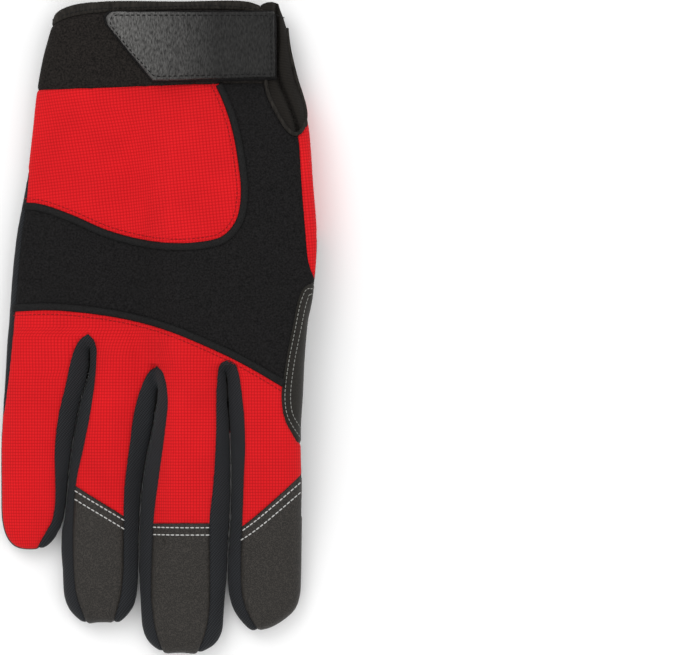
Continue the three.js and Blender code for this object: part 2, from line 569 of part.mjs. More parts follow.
const pieces = {};
const rimWall = wall('hand', bindingProud, bindingProud - bindingWall);
pieces.rim_binding = rimWall.intersect(beyond(rimEdge)).subtract(beyond(rimHem)).subtract(ventSpace(0));
const cuffWall = wall('hand', 0, -neopreneWall).intersect(beyond(rimHem, -gap)).subtract(beyond(cuffSeam));
pieces.cuff_band = cut(cuffWall, [ventSpace]);
pieces.vent_binding = wall('hand', 0, -bindingWall).intersect(ventSpace(-gap)).subtract(prism(ventOutline))
  .intersect(beyond(rimHem, -gap));
pieces.vent_gusset = wall('hand', -gussetDepth, -gussetDepth - knitWall).intersect(prism(ventOutline, -gap))
  .intersect(above(0)).intersect(beyond(rimHem, -gap));
pieces.wrist_strap = wall('hand', gap + strapWall, gap).intersect(prism(strapOutline)).intersect(above(0))
  .subtract(wall('hand', bindingProud + gap, 0).subtract(beyond(rimHem, -gap)));
pieces.strap_face = wall('hand', 2 * gap + strapWall + strapFaceWall, 2 * gap + strapWall)
  .intersect(prism(strapFaceOutline)).intersect(above(0));

const backWall = wall('hand', 0, -stretchWall).intersect(backSpace(0)).intersect(beyond(cuffSeam, -gap));
pieces.back_panel = cut(backWall.intersect(panelZone(0)), [upperWeltSpace, ventSpace]);
pieces.upper_piping = wall('hand', pipingProud, -stretchWall).intersect(upperWeltSpace(0))
  .intersect(beyond(cuffSeam, -gap));
const neoprene = wall('hand', 0, -neopreneWall).intersect(backSpace(0)).intersect(beyond(cuffSeam, -gap));
pieces.knuckle_band = cut(neoprene, [panelZone, upperWeltSpace, lowerZone, lowerWeltSpace, ventSpace]);
pieces.lower_piping = wall('hand', pipingProud, -stretchWall).intersect(lowerWeltSpace(0));
pieces.finger_back = cut(backWall.intersect(lowerZone(0)), [lowerWeltSpace, ...capSpaces]);
for (const [name, space] of caps) {
  pieces[`fingertip_cap_${name}`] = wall('hand', capProud, capProud - leatherWall).intersect(space(0));
}
const fourchettes = {
  pinky_ring: pinkyRingSpace,
  ring_middle: ringMiddleSpace,
  middle_index: middleIndexSpace,
};
const knit = wall('hand', 0, -knitWall);
for (const [name, space] of Object.entries(fourchettes)) {
  pieces[`fourchette_${name}`] = cut(knit.intersect(space(0)), [backSpace, ...capSpaces]);
}

const fullWall = wall('all', 0, -suedeWall).intersect(beyond(cuffSeam, -gap));
pieces.thumb_patch = cut(fullWall.intersect(patchZone(0)), [backSpace]);
pieces.thumb_back = cut(fullWall.intersect(redZone(0)), [backSpace, ventSpace]);
pieces.thumb_tip_cap = cut(fullWall.intersect(tipZone(0)), [patchZone]);
pieces.thumb_front = cut(fullWall.intersect(thumbZone(0)), [redZone, patchZone, tipZone]);
const besideThePalm = [backSpace, ...capSpaces, ...Object.values(fourchettes), thumbZone, patchZone, redZone];
pieces.palm = cut(fullWall, [...besideThePalm, ventSpace]);

// The grip pads lie between the palm and the surface, and follow its climb over the thumb.
const padStations = [0.14, 0.165, 0.2, 0.235, 0.27, 0.4, 0.55, 0.66, 0.7];
const padBreaks = [-0.6, foldStart, -0.04, 0, 0.034, foldEnd, 0.6];
const padSheet = loft(padStations.map((station) => {
  const y = along(station);
  const breaks = padBreaks.map(across);
  const under = breaks.map((x) => new THREE.Vector3(x, y, undersideAt(x, y) - padStack));
  const over = breaks.map((x) => new THREE.Vector3(x, y, undersideAt(x, y) + bottomFlatness));
  return [...under, ...over.reverse()];
})).subtract(grown('hand', gap));
pieces.heel_pad = padSheet.intersect(prism(heelPadOutline));
pieces.knuckle_pad = padSheet.intersect(prism(knucklePadOutline));

const looks = {
  rim_binding: { color: '#2a2624', roughness: 0.85 },
  cuff_band: { color: '#212021', roughness: 0.9 },
  vent_binding: { color: '#26231f', roughness: 0.85 },
  vent_gusset: { color: '#2a2622', roughness: 0.9 },
  wrist_strap: { color: '#212021', roughness: 0.9 },
  strap_face: { color: '#4a4948', roughness: 0.5 },
  back_panel: { color: '#d52126', roughness: 0.85 },
  upper_piping: { color: '#1c1b1b', roughness: 0.8 },
  knuckle_band: { color: '#212021', roughness: 0.9 },
  lower_piping: { color: '#1c1b1b', roughness: 0.8 },
  finger_back: { color: '#cd2025', roughness: 0.85 },
  fingertip_cap_ring: { color: '#3c3936', roughness: 0.55 },
  fingertip_cap_middle: { color: '#3c3936', roughness: 0.55 },
  fingertip_cap_index: { color: '#3c3936', roughness: 0.55 },
  fourchette_pinky_ring: { color: '#242628', roughness: 0.85 },
  fourchette_ring_middle: { color: '#242628', roughness: 0.85 },
  fourchette_middle_index: { color: '#242628', roughness: 0.85 },
  palm: { color: '#211e19', roughness: 0.95 },
  heel_pad: { color: '#3e3e3d', roughness: 0.5 },
  knuckle_pad: { color: '#373735', roughness: 0.5 },
  thumb_back: { color: '#d12126', roughness: 0.85 },
  thumb_front: { color: '#211e19', roughness: 0.95 },
  thumb_tip_cap: { color: '#2d2c2b', roughness: 0.55 },
  thumb_patch: { color: '#28241b', roughness: 0.95 },
};

// The main body of a cut piece, without the crumbs that the cuts leave beside it, as a mesh's geometry.
function mainBody(piece) {
  const [body] = piece.decompose().sort((one, other) => other.volume() - one.volume());
  const { vertProperties, triVerts } = body.getMesh();
  const geometry = new THREE.BufferGeometry();
  geometry.setAttribute('position', new THREE.BufferAttribute(vertProperties, 3));
  geometry.setIndex(new THREE.BufferAttribute(triVerts, 1));
  return geometry;
}

const glove = new THREE.Group();
glove.name = 'mechanic_glove';
for (const [name, look] of Object.entries(looks)) {
  const geometry = mainBody(pieces[name]);
  const mesh = new THREE.Mesh(geometry, new THREE.MeshStandardMaterial({ ...look, metalness: 0 }));
  mesh.name = name;
  glove.add(mesh);
}

export default glove;
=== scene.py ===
"""A mechanic glove for a right hand, lying back up with its thumb folded under the palm."""
import math
import bpy
import numpy as np
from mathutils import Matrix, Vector
from mathutils.bvhtree import BVHTree


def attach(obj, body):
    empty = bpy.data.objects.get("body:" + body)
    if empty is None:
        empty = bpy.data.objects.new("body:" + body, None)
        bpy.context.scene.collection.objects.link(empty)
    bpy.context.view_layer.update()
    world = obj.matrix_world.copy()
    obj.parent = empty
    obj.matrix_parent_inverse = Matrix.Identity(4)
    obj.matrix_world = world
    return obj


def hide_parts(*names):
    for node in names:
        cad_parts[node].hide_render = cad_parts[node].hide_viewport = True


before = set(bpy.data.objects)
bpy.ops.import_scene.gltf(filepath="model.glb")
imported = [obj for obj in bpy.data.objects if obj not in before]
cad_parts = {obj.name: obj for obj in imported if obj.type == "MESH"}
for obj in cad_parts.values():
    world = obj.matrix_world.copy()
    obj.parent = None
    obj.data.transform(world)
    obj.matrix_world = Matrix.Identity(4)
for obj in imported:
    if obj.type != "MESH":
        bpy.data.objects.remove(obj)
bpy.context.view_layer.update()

# Camera, floor and light
# Straight above the glove with a long lens, so that the glove stands on the left of the view as in
# the photograph. A pale floor and large soft lamps.
camera = bpy.data.objects.new("camera", bpy.data.cameras.new("camera"))
camera.location = (0.0728, 0.0, 3.0)
camera.data.lens = 403.8
camera.data.clip_end = 20
bpy.context.scene.collection.objects.link(camera)
bpy.context.scene.camera = camera

floor_mesh = bpy.data.meshes.new("floor")
floor_mesh.from_pydata([(-4, -4, 0), (4, -4, 0), (4, 4, 0), (-4, 4, 0)], [], [(0, 1, 2, 3)])
floor = bpy.data.objects.new("floor", floor_mesh)
bpy.context.scene.collection.objects.link(floor)
floor_paint = bpy.data.materials.new("pale_floor")
floor_paint.use_nodes = True
floor_paint.node_tree.nodes["Principled BSDF"].inputs["Base Color"].default_value = (0.93, 0.93, 0.93, 1)
floor_paint.node_tree.nodes["Principled BSDF"].inputs["Roughness"].default_value = 0.9
floor_mesh.materials.append(floor_paint)

world = bpy.data.worlds.new("studio")
world.use_nodes = True
world.node_tree.nodes["Background"].inputs["Color"].default_value = (1, 1, 1, 1)
world.node_tree.nodes["Background"].inputs["Strength"].default_value = 0.93
bpy.context.scene.world = world
bpy.context.scene.view_settings.view_transform = "Standard"
for name, spot, size, power in (("key", (-0.6, 0.9, 1.4), 1.0, 8), ("fill", (0.9, -0.2, 1.6), 1.4, 3),
                                ("front", (-0.2, -1.0, 1.4), 1.2, 2.5)):
    lamp = bpy.data.lights.new(name, "AREA")
    lamp.energy = power
    lamp.size = size
    holder = bpy.data.objects.new(name, lamp)
    holder.location = spot
    holder.rotation_euler = Vector(spot).to_track_quat("Z", "Y").to_euler()
    bpy.context.scene.collection.objects.link(holder)

# Lie of the glove
# The same sizes and tables as the solids, in millimetres. Places are shares of the width from the
# middle line and of the length from the rim. The hand climbs over the folded thumb on its thumb side.
LENGTH, WIDTH = 247.6, 120.5
PAD, THUMB = 1.8, 10.5
CUFF_END, CUFF_MIDDLE, HAND_MIDDLE = LENGTH * 0.362, 8.5, 6.75
lie = np.array([(-0.1, 0.25, 0), (0.13, 0.25, 0.06), (0.165, 1, 0.35), (0.2, 1, 0.62), (0.27, 1, 1),
                (0.66, 1, 1),
                (0.7, 1, 0.95), (0.77, 0.06, 0.62), (0.84, 0.06, 0.25), (0.91, 0.06, 0), (1.1, 0.06, 0)])


def lift_at(y):
    return np.interp(0.5 - y / LENGTH, lie[:, 0], lie[:, 2])


def underside(x, y):
    share = np.clip((x / WIDTH + 0.074) / 0.142, 0, 1)
    stand = np.interp(0.5 - y / LENGTH, lie[:, 0], lie[:, 1])
    return PAD * stand + lift_at(y) * (THUMB + 0.4) * share * share * (3 - 2 * share)


def middle_height(points):
    half = np.where(points[:, 1] > CUFF_END, CUFF_MIDDLE, HAND_MIDDLE)
    return points[:, 2] - underside(points[:, 0], points[:, 1]) - half


def flow(table, stations):
    """The columns of a table at any stations, on smooth curves through its rows."""
    rows = np.array(table, float)
    place, value = rows[:, 0], rows[:, 1:]
    width = np.diff(place)[:, None]
    slope = np.diff(value, axis=0) / width
    lean = np.zeros_like(value)
    product = slope[1:] * slope[:-1]
    total = slope[1:] + slope[:-1]
    lean[1:-1] = np.where(product > 0, 2 * product / np.where(total == 0, 1, total), 0)
    lean[0], lean[-1] = slope[0], slope[-1]
    k = np.clip(np.searchsorted(place, stations) - 1, 0, len(place) - 2)
    t = np.clip((stations - place[k]) / width[k, 0], 0, 1)[:, None]
    w = width[k]
    return ((1 + 2 * t) * (1 - t) ** 2 * value[k] + t * (1 - t) ** 2 * w * lean[k]
            + t * t * (3 - 2 * t) * value[k + 1] + t * t * (t - 1) * w * lean[k + 1])


# The line of each gap between two fingers, as shares: it opens at its first station, and the fingers
# press together along it down to the share named closed.
gaps = [
    dict(closed=0.812, line=np.array([(-0.219, 0.5234), (-0.219, 0.557), (-0.229, 0.585), (-0.248, 0.611),
                                      (-0.263, 0.649), (-0.276, 0.688), (-0.2855, 0.726), (-0.292, 0.764),
                                      (-0.301, 0.795), (-0.311, 0.818), (-0.317, 0.857)])),
    dict(closed=0.882, line=np.array([(-0.0016, 0.5833), (-0.0047, 0.611), (-0.014, 0.642), (-0.03, 0.68),
                                      (-0.043, 0.711), (-0.055, 0.749), (-0.06, 0.78), (-0.063, 0.826),
                                      (-0.0647, 0.872), (-0.0647, 0.918), (-0.068, 0.98)])),
    dict(closed=0.886, line=np.array([(0.21, 0.562), (0.216, 0.58), (0.219, 0.611), (0.2256, 0.657),
                                      (0.2287, 0.703), (0.2287, 0.749), (0.2256, 0.795), (0.219, 0.841),
                                      (0.216, 0.88), (0.213, 0.918), (0.213, 0.98)])),
]
OPEN = 1.05


def gap_at(k, station):
    """Where gap k runs at each station, and half its width in the rough skin and in the finished one."""
    line = gaps[k]["line"]
    x = np.interp(station, line[:, 1], line[:, 0]) * WIDTH
    rough = OPEN * np.clip((station - line[0, 1]) / 0.013, 0, 1)
    finished = 0.14 + np.clip(station - gaps[k]["closed"], 0, 1) * 15
    return x, rough, np.minimum(finished, rough)


# Skin
# One closed skin through all the forms: hand, fingers, the root of the thumb and the folded thumb.
# Each form is a row of rounded sections, its rows giving station, left, right, low and high.
forms = {
    "hand": dict(thick=19, roundness=2.6, rows=[
        (-0.02, -0.31, 0.37, 0, 1), (0.0, -0.317, 0.377, 0, 1), (0.037, -0.339, 0.402, 0, 1),
        (0.089, -0.368, 0.421, 0, 1), (0.138, -0.386, 0.45, 0, 0.95), (0.196, -0.399, 0.475, 0, 0.89),
        (0.273, -0.418, 0.487, 0, 0.84), (0.368, -0.453, 0.5, 0, 0.82), (0.442, -0.468, 0.491, 0, 0.81),
        (0.508, -0.475, 0.465, 0, 0.8), (0.532, -0.21, 0.458, 0, 0.79), (0.556, -0.17, 0.44, 0, 0.76)]),
    "pinky": dict(thick=13, roundness=2.3, end=15, square=3.0, right=0, rows=[
        (0.434, -0.462, -0.185, 0, 1.16), (0.528, -0.481, -0.226, 0, 1.13), (0.578, -0.487, -0.24, 0, 1.09),
        (0.626, -0.494, -0.268, 0, 1.05), (0.695, -0.5, -0.294, 0, 1), (0.772, -0.5, -0.312, 0, 0.93),
        (0.842, -0.49, -0.325, 0, 0.9)]),
    "ring": dict(thick=14.5, roundness=2.3, end=15, square=3.2, left=0, right=1, rows=[
        (0.434, -0.26, 0.03, 0, 1.05), (0.528, -0.21, 0.003, 0, 1.06), (0.578, -0.226, -0.014, 0, 1.03),
        (0.626, -0.254, -0.035, 0, 1.01), (0.695, -0.28, -0.053, 0, 0.98), (0.772, -0.3, -0.062, 0, 0.95),
        (0.82, -0.307, -0.066, 0, 0.91), (0.903, -0.303, -0.069, 0, 0.86), (0.953, -0.29, -0.08, 0, 0.84)]),
    "middle": dict(thick=15, roundness=2.3, end=16, square=3.2, left=1, right=2, rows=[
        (0.434, -0.058, 0.27, 0, 1.02), (0.54, -0.02, 0.232, 0, 1.02), (0.6, -0.012, 0.217, 0, 1),
        (0.66, -0.034, 0.216, 0, 0.99), (0.764, -0.049, 0.214, 0, 0.96), (0.87, -0.054, 0.212, 0, 0.9),
        (0.933, -0.057, 0.208, 0, 0.86), (1.0, -0.05, 0.2, 0, 0.84)]),
    "index": dict(thick=14.5, roundness=2.3, end=17, square=3.0, left=2, rows=[
        (0.434, 0.169, 0.484, 0, 1.05), (0.562, 0.222, 0.46, 0, 1.03), (0.6, 0.229, 0.457, 0, 1.02),
        (0.66, 0.229, 0.45, 0, 1.0), (0.734, 0.227, 0.452, 0, 0.98), (0.826, 0.225, 0.45, 0, 0.93),
        (0.9, 0.224, 0.447, 0, 0.88), (0.93, 0.228, 0.438, 0, 0.86), (0.964, 0.248, 0.385, 0, 0.85)]),
    "thumb": dict(thick=10.5, roundness=2.4, end=24, square=2.4, under=True, rows=[
        (0.151, 0.09, 0.425, 0, 1), (0.196, 0.068, 0.459, 0, 1), (0.273, 0.065, 0.478, 0, 1),
        (0.368, 0.062, 0.487, 0, 1), (0.485, 0.062, 0.434, 0, 1), (0.537, 0.065, 0.39, 0, 0.98),
        (0.58, 0.08, 0.345, 0, 0.96), (0.619, 0.1, 0.305, 0, 0.94), (0.664, 0.13, 0.28, 0, 0.92)]),
    "root": dict(thick=23, roundness=2.3, flat=True, rows=[
        (0.146, 0.34, 0.446, 0, 0.55), (0.196, 0.377, 0.475, 0, 0.74), (0.273, 0.396, 0.487, 0, 0.98),
        (0.368, 0.402, 0.5, 0, 1), (0.419, 0.415, 0.494, 0, 0.96), (0.451, 0.436, 0.484, 0.1, 0.9)]),
    "first_web": dict(thick=13, roundness=2.6, rows=[
        (0.49, -0.27, -0.17, 0, 0.8), (0.53, -0.25, -0.19, 0, 0.45), (0.568, -0.255, -0.195, 0, 0.2)]),
    "second_web": dict(thick=14.5, roundness=2.6, rows=[
        (0.54, -0.04, 0.03, 0, 0.7), (0.59, -0.03, 0.025, 0, 0.42), (0.617, -0.035, 0.02, 0, 0.2)]),
    "third_web": dict(thick=14.5, roundness=2.6, rows=[
        (0.53, 0.17, 0.25, 0, 0.7), (0.575, 0.185, 0.245, 0, 0.42), (0.613, 0.19, 0.247, 0, 0.2)]),
}
corners, faces = [], []
SIDES = 72
turn = np.arange(SIDES) * 2 * math.pi / SIDES
for form in forms.values():
    first, last = form["rows"][0][0], form["rows"][-1][0]
    stations = np.linspace(first, last, int((last - first) * LENGTH / 1.5))
    if "end" in form:
        u = np.linspace(0, 1, 14)
        stations = np.concatenate([stations[stations < last - form["end"] / LENGTH],
                                   last - form["end"] / LENGTH * (1 - np.sin(u * math.pi / 2))])
    out = np.sign(np.cos(turn)) * np.abs(np.cos(turn)) ** (2 / form["roundness"])
    up = np.sign(np.sin(turn)) * np.abs(np.sin(turn)) ** (2 / form["roundness"])
    start = len(corners)
    for station, (left, right, low, high) in zip(stations, flow(form["rows"], stations)):
        y = LENGTH * (0.5 - station)
        left, right = left * WIDTH, right * WIDTH
        for side in ("left", "right"):
            if side not in form:
                continue
            line, half, _ = gap_at(form[side], station)
            if half > 0 and side == "left":
                left = line + half if station < gaps[form[side]]["closed"] else max(left, line + half)
            elif half > 0:
                right = line - half if station < gaps[form[side]]["closed"] else min(right, line - half)
        narrow = 1.0
        if "end" in form:
            into = max(0.0, (station - last) * LENGTH / form["end"] + 1)
            narrow = max(1 - into ** form["square"], 0.0004) ** (1 / form["square"])
        scale = max(lift_at(y), 0.2) if form.get("under") else 1.0
        middle, reach = (left + right) / 2, (right - left) / 2 * narrow
        top, bottom = high * form["thick"] * scale, low * form["thick"] * scale - 1
        centre, rise = (top + bottom) / 2, (top - bottom) / 2 * narrow
        x = middle + reach * out
        ground = np.zeros(SIDES) if form.get("under") or form.get("flat") else underside(x,
                                                                                         np.full(SIDES, y))
        z = ground + np.maximum(centre + rise * up, 0)
        corners.extend(zip(x, np.full(SIDES, y), z))
    count = (len(corners) - start) // SIDES
    for row in range(count - 1):
        for k in range(SIDES):
            a, b = start + row * SIDES + k, start + row * SIDES + (k + 1) % SIDES
            faces.append((a, a + SIDES, b + SIDES, b))
    faces.append(tuple(start + k for k in range(SIDES)))
    faces.append(tuple(start + (count - 1) * SIDES + k for k in reversed(range(SIDES))))
block = bpy.data.meshes.new("skin")
block.from_pydata(corners, [], faces)
skin = bpy.data.objects.new("skin", block)
bpy.context.scene.collection.objects.link(skin)
remesh = skin.modifiers.new("remesh", "REMESH")
remesh.mode = "VOXEL"
remesh.voxel_size = 0.8
settle = skin.modifiers.new("settle", "SMOOTH")
settle.iterations = 5
dressed = skin.evaluated_get(bpy.context.evaluated_depsgraph_get()).to_mesh()
dressed.calc_loop_triangles()
points = np.empty(len(dressed.vertices) * 3)
dressed.vertices.foreach_get("co", points)
points = points.reshape(-1, 3)
triangles = np.empty(len(dressed.loop_triangles) * 3, int)
dressed.loop_triangles.foreach_get("vertices", triangles)
triangles = triangles.reshape(-1, 3)
bpy.data.objects.remove(skin)

# The rough skin keeps its fingers apart. Now their sides press together along each gap, the tips get the
# small corners of their caps, and the cloth its soft waves.
for k in range(3):
    station = 0.5 - points[:, 1] / LENGTH
    line, rough, finished = gap_at(k, station)
    away = points[:, 0] - line
    press = (rough - finished) * np.clip(1 - (np.abs(away) - rough) / 6, 0, 1) ** 2
    inside = np.abs(away) < rough
    closer = away * (1 - finished / np.maximum(rough, 0.01))
    points[:, 0] -= np.where(inside, closer, np.sign(away) * press)
for x, y, far in ((-28.0, -111.0, 0.9), (-15.2, -111.3, 0.9), (2.3, -123.0, 0.6), (14.0, -123.3, 0.6),
                  (35.8, -114.0, 0.8)):
    pull = np.exp(-((points[:, 0] - x) / 3.0) ** 2) * np.clip((y + 6 - points[:, 1]) / 6, 0, 1)
    points[:, 1] -= far * pull
upper_share = np.clip(middle_height(points) / 4, 0, 1)
for along, across, phase, tall in ((0.11, 0.19, 0.4, 0.16), (-0.23, 0.13, 1.9, 0.12),
                                   (0.31, 0.41, 3.1, 0.07),
                                   (-0.05, 0.55, 5.0, 0.06)):
    points[:, 2] += upper_share * tall * np.sin(along * points[:, 0] + across * points[:, 1] + phase)


def curve(rows, closed=False, step=0.8):
    """A smooth line through shares of the width and length, in millimetres, on evenly spaced points."""
    ends = np.array(rows, float) * (WIDTH, -LENGTH) + (0, LENGTH / 2)
    if closed:
        ends = np.vstack([ends[-1], ends, ends[0], ends[1]])
    else:
        ends = np.vstack([2 * ends[0] - ends[1], ends, 2 * ends[-1] - ends[-2]])
    line = []
    for a, b, c, d in zip(ends[:-3], ends[1:-2], ends[2:-1], ends[3:]):
        k1 = max(np.linalg.norm(b - a) ** 0.5, 1e-6)
        k2 = max(np.linalg.norm(c - b) ** 0.5, 1e-6)
        k3 = max(np.linalg.norm(d - c) ** 0.5, 1e-6)
        lean_b = (c - b) + k2 * ((b - a) / k1 - (c - a) / (k1 + k2))
        lean_c = (c - b) + k2 * ((d - c) / k3 - (d - b) / (k2 + k3))
        t = np.linspace(0, 1, 24, endpoint=False)[:, None]
        line.append((2 * t ** 3 - 3 * t ** 2 + 1) * b + (t ** 3 - 2 * t ** 2 + t) * lean_b
                    + (3 * t ** 2 - 2 * t ** 3) * c + (t ** 3 - t ** 2) * lean_c)
    line = np.vstack(line + [ends[-2][None]])
    gone = np.concatenate([[0], np.cumsum(np.linalg.norm(np.diff(line, axis=0), axis=1))])
    even = np.linspace(0, gone[-1], max(int(gone[-1] / step), 2))
    line = np.column_stack([np.interp(even, gone, line[:, 0]), np.interp(even, gone, line[:, 1])])
    return line[:-1] if closed else line


def within(points, outline):
    """Distance to a closed outline in plan, positive inside it."""
    best = np.full(len(points), 1e9)
    inside = np.zeros(len(points), bool)
    x, y = points[:, 0], points[:, 1]
    for a, b in zip(outline, np.roll(outline, -1, 0)):
        run = b - a
        t = np.clip(((x - a[0]) * run[0] + (y - a[1]) * run[1]) / (run @ run + 1e-12), 0, 1)
        best = np.minimum(best, (x - a[0] - t * run[0]) ** 2 + (y - a[1] - t * run[1]) ** 2)
        if a[1] != b[1]:
            crosses = (a[1] > y) != (b[1] > y)
            inside ^= crosses & (x < a[0] + (y - a[1]) * run[0] / run[1])
    best = np.sqrt(best)
    return np.where(inside, best, -best)


def past(points, line):
    """How far points lie on the fingers' side of a line across the glove."""
    order = np.argsort(line[:, 0])
    return np.interp(points[:, 0], line[order, 0], line[order, 1]) - points[:, 1]


# Seams
# The lines along which the panels meet, as shares of the width and length.
cuff_seam = curve([
    (-0.6, 0.137), (-0.396, 0.135), (-0.216, 0.133), (0.005, 0.129), (0.21, 0.126), (0.6, 0.126)])
rim_edge = curve([
    (-0.5, 0.06), (-0.36, 0.04), (-0.33, 0.018), (-0.279, 0.006), (-0.181, 0), (0.068, 0), (0.282, 0),
    (0.333, 0.008), (0.42, 0.018), (0.55, 0.04)])
rim_hem = curve([
    (-0.5, 0.07), (-0.38, 0.052), (-0.323, 0.031), (-0.248, 0.02), (-0.027, 0.014), (0.289, 0.015),
    (0.42, 0.034), (0.55, 0.05)])
upper_welt = curve([
    (-0.46, 0.311), (-0.437, 0.313), (-0.374, 0.316), (-0.279, 0.332), (-0.153, 0.358), (0.005, 0.375),
    (0.131, 0.375), (0.21, 0.365), (0.257, 0.338), (0.273, 0.296), (0.263, 0.243), (0.241, 0.189),
    (0.213, 0.15), (0.191, 0.126), (0.185, 0.115)])
lower_welt = curve([
    (-0.55, 0.47), (-0.462, 0.47), (-0.342, 0.468), (-0.216, 0.473), (-0.09, 0.483), (0.036, 0.5),
    (0.162, 0.525), (0.273, 0.551), (0.393, 0.585), (0.48, 0.612)])
pinky_side = curve([
    (-0.39, 0.1), (-0.394, 0.135), (-0.409, 0.227), (-0.42, 0.304), (-0.434, 0.358), (-0.45, 0.442),
    (-0.464, 0.519), (-0.48, 0.589), (-0.5, 0.65), (-0.53, 0.7)])
thumb_side = curve([
    (0.434, 0.1), (0.434, 0.18), (0.446, 0.221), (0.453, 0.276), (0.465, 0.35), (0.478, 0.405),
    (0.51, 0.436)])
patch_edge = curve([
    (0.51, 0.43), (0.465, 0.437), (0.446, 0.454), (0.424, 0.503), (0.402, 0.559), (0.39, 0.608),
    (0.402, 0.642), (0.44, 0.675)])
pinky_back_right = curve([
    (-0.222, 0.51), (-0.248, 0.52), (-0.27, 0.543), (-0.292, 0.589), (-0.314, 0.635), (-0.326, 0.685),
    (-0.326, 0.772), (-0.336, 0.798), (-0.355, 0.815), (-0.375, 0.832)])
ring_back_left = curve([
    (-0.222, 0.51), (-0.203, 0.522), (-0.202, 0.571), (-0.216, 0.626), (-0.238, 0.682), (-0.263, 0.737),
    (-0.271, 0.78), (-0.272, 0.86), (-0.262, 0.91), (-0.235, 0.95)])
ring_back_right = curve([
    (-0.008, 0.56), (-0.03, 0.569), (-0.052, 0.589), (-0.074, 0.626), (-0.09, 0.682), (-0.107, 0.749),
    (-0.109, 0.81), (-0.11, 0.87), (-0.118, 0.91), (-0.14, 0.95)])
middle_back_left = curve([
    (-0.008, 0.56), (0.011, 0.569), (0.027, 0.608), (0.017, 0.663), (-0.002, 0.731), (-0.017, 0.787),
    (-0.024, 0.856), (-0.025, 0.92), (-0.012, 0.965), (0.01, 1.0)])
middle_back_right = curve([
    (0.222, 0.55), (0.2, 0.556), (0.188, 0.589), (0.185, 0.663), (0.175, 0.743), (0.163, 0.795),
    (0.163, 0.88), (0.16, 0.94), (0.145, 0.975), (0.125, 1.0)])
index_back_left = curve([
    (0.222, 0.55), (0.244, 0.559), (0.263, 0.605), (0.273, 0.672), (0.268, 0.734), (0.263, 0.795),
    (0.258, 0.86), (0.262, 0.91), (0.28, 0.94), (0.31, 0.965)])
index_back_right = curve([(0.44, 0.665), (0.48, 0.685), (0.55, 0.72), (0.6, 0.9)])
pinky_front_right = curve([
    (-0.232, 0.572), (-0.267, 0.586), (-0.311, 0.646), (-0.342, 0.718), (-0.345, 0.78), (-0.352, 0.815),
    (-0.375, 0.832)])
ring_front_left = curve([
    (-0.232, 0.572), (-0.2, 0.611), (-0.216, 0.672), (-0.241, 0.734), (-0.251, 0.81), (-0.254, 0.89),
    (-0.235, 0.95)])
ring_front_right = curve([
    (-0.027, 0.622), (-0.062, 0.649), (-0.08, 0.688), (-0.099, 0.749), (-0.103, 0.81), (-0.109, 0.89),
    (-0.14, 0.95)])
middle_front_left = curve([
    (-0.027, 0.622), (0.017, 0.657), (0.014, 0.718), (-0.005, 0.81), (-0.008, 0.93), (0.01, 1.0)])
middle_front_right = curve([
    (0.219, 0.619), (0.185, 0.657), (0.169, 0.718), (0.162, 0.81), (0.159, 0.93), (0.125, 1.0)])
index_front_left = curve([
    (0.219, 0.619), (0.263, 0.657), (0.273, 0.718), (0.27, 0.81), (0.267, 0.9), (0.31, 0.965)])


def shares(*rows):
    return np.array(rows, float) * (WIDTH, -LENGTH) + (0, LENGTH / 2)


tips = {"pinky": shares((-0.6, 0.7), (-0.6, 0.86), (-0.4, 0.86)), "ring": shares((-0.2, 0.99),
                                                                                 (-0.17, 0.99)),
        "middle": shares((0.05, 1.04), (0.09, 1.04)), "index": shares((0.34, 1.0), (0.6, 1.0))}
outer_side = shares((0.6, 0.66), (0.6, 0.9))
back_outline = np.vstack([
    pinky_side, tips["pinky"], pinky_back_right[::-1], ring_back_left[1:], tips["ring"],
    ring_back_right[::-1],
    middle_back_left[1:], tips["middle"], middle_back_right[::-1], index_back_left[1:], tips["index"],
    index_back_right[::-1], patch_edge[::-1], thumb_side[::-1]])
panel_outline = np.vstack([shares((-0.7, 0.05), (0.185, 0.05)), upper_welt[::-1], shares((-0.7, 0.311))])
vent_edge = curve([
    (0.315, -0.06), (0.327, 0.06), (0.338, 0.121), (0.344, 0.139), (0.364, 0.162), (0.383, 0.179),
    (0.407, 0.1965), (0.4306, 0.205), (0.4495, 0.2), (0.462, 0.185), (0.463, 0.169), (0.4545, 0.15),
    (0.437, 0.1236), (0.423, 0.098), (0.409, 0.066), (0.402, 0.035), (0.396, 0.01), (0.392, -0.06)])
red_outline = np.vstack([
    curve([(0.166, 0.1), (0.166, 0.36), (0.15, 0.39), (0.135, 0.47), (0.124, 0.53), (0.14, 0.59),
           (0.175, 0.64),
           (0.2, 0.68)]),
    curve([(0.24, 0.68), (0.262, 0.642), (0.318, 0.585), (0.372, 0.53), (0.42, 0.475), (0.455, 0.425),
           (0.47, 0.365), (0.56, 0.355)]), shares((0.56, 0.1))])
patch_outline = np.vstack([patch_edge, shares((0.5, 0.69), (0.6, 0.69), (0.6, 0.43))])
thumb_patch_outline = np.vstack([
    curve([(0.56, 0.355), (0.47, 0.365), (0.455, 0.425), (0.42, 0.475), (0.372, 0.53), (0.318, 0.585)]),
    shares((0.4, 0.6), (0.6, 0.5))])
thumb_tip_outline = shares((0, 0.508), (0.124, 0.505), (0.124, 0.53), (0.14, 0.59), (0.175, 0.64),
                           (0.2, 0.7), (0, 0.7))
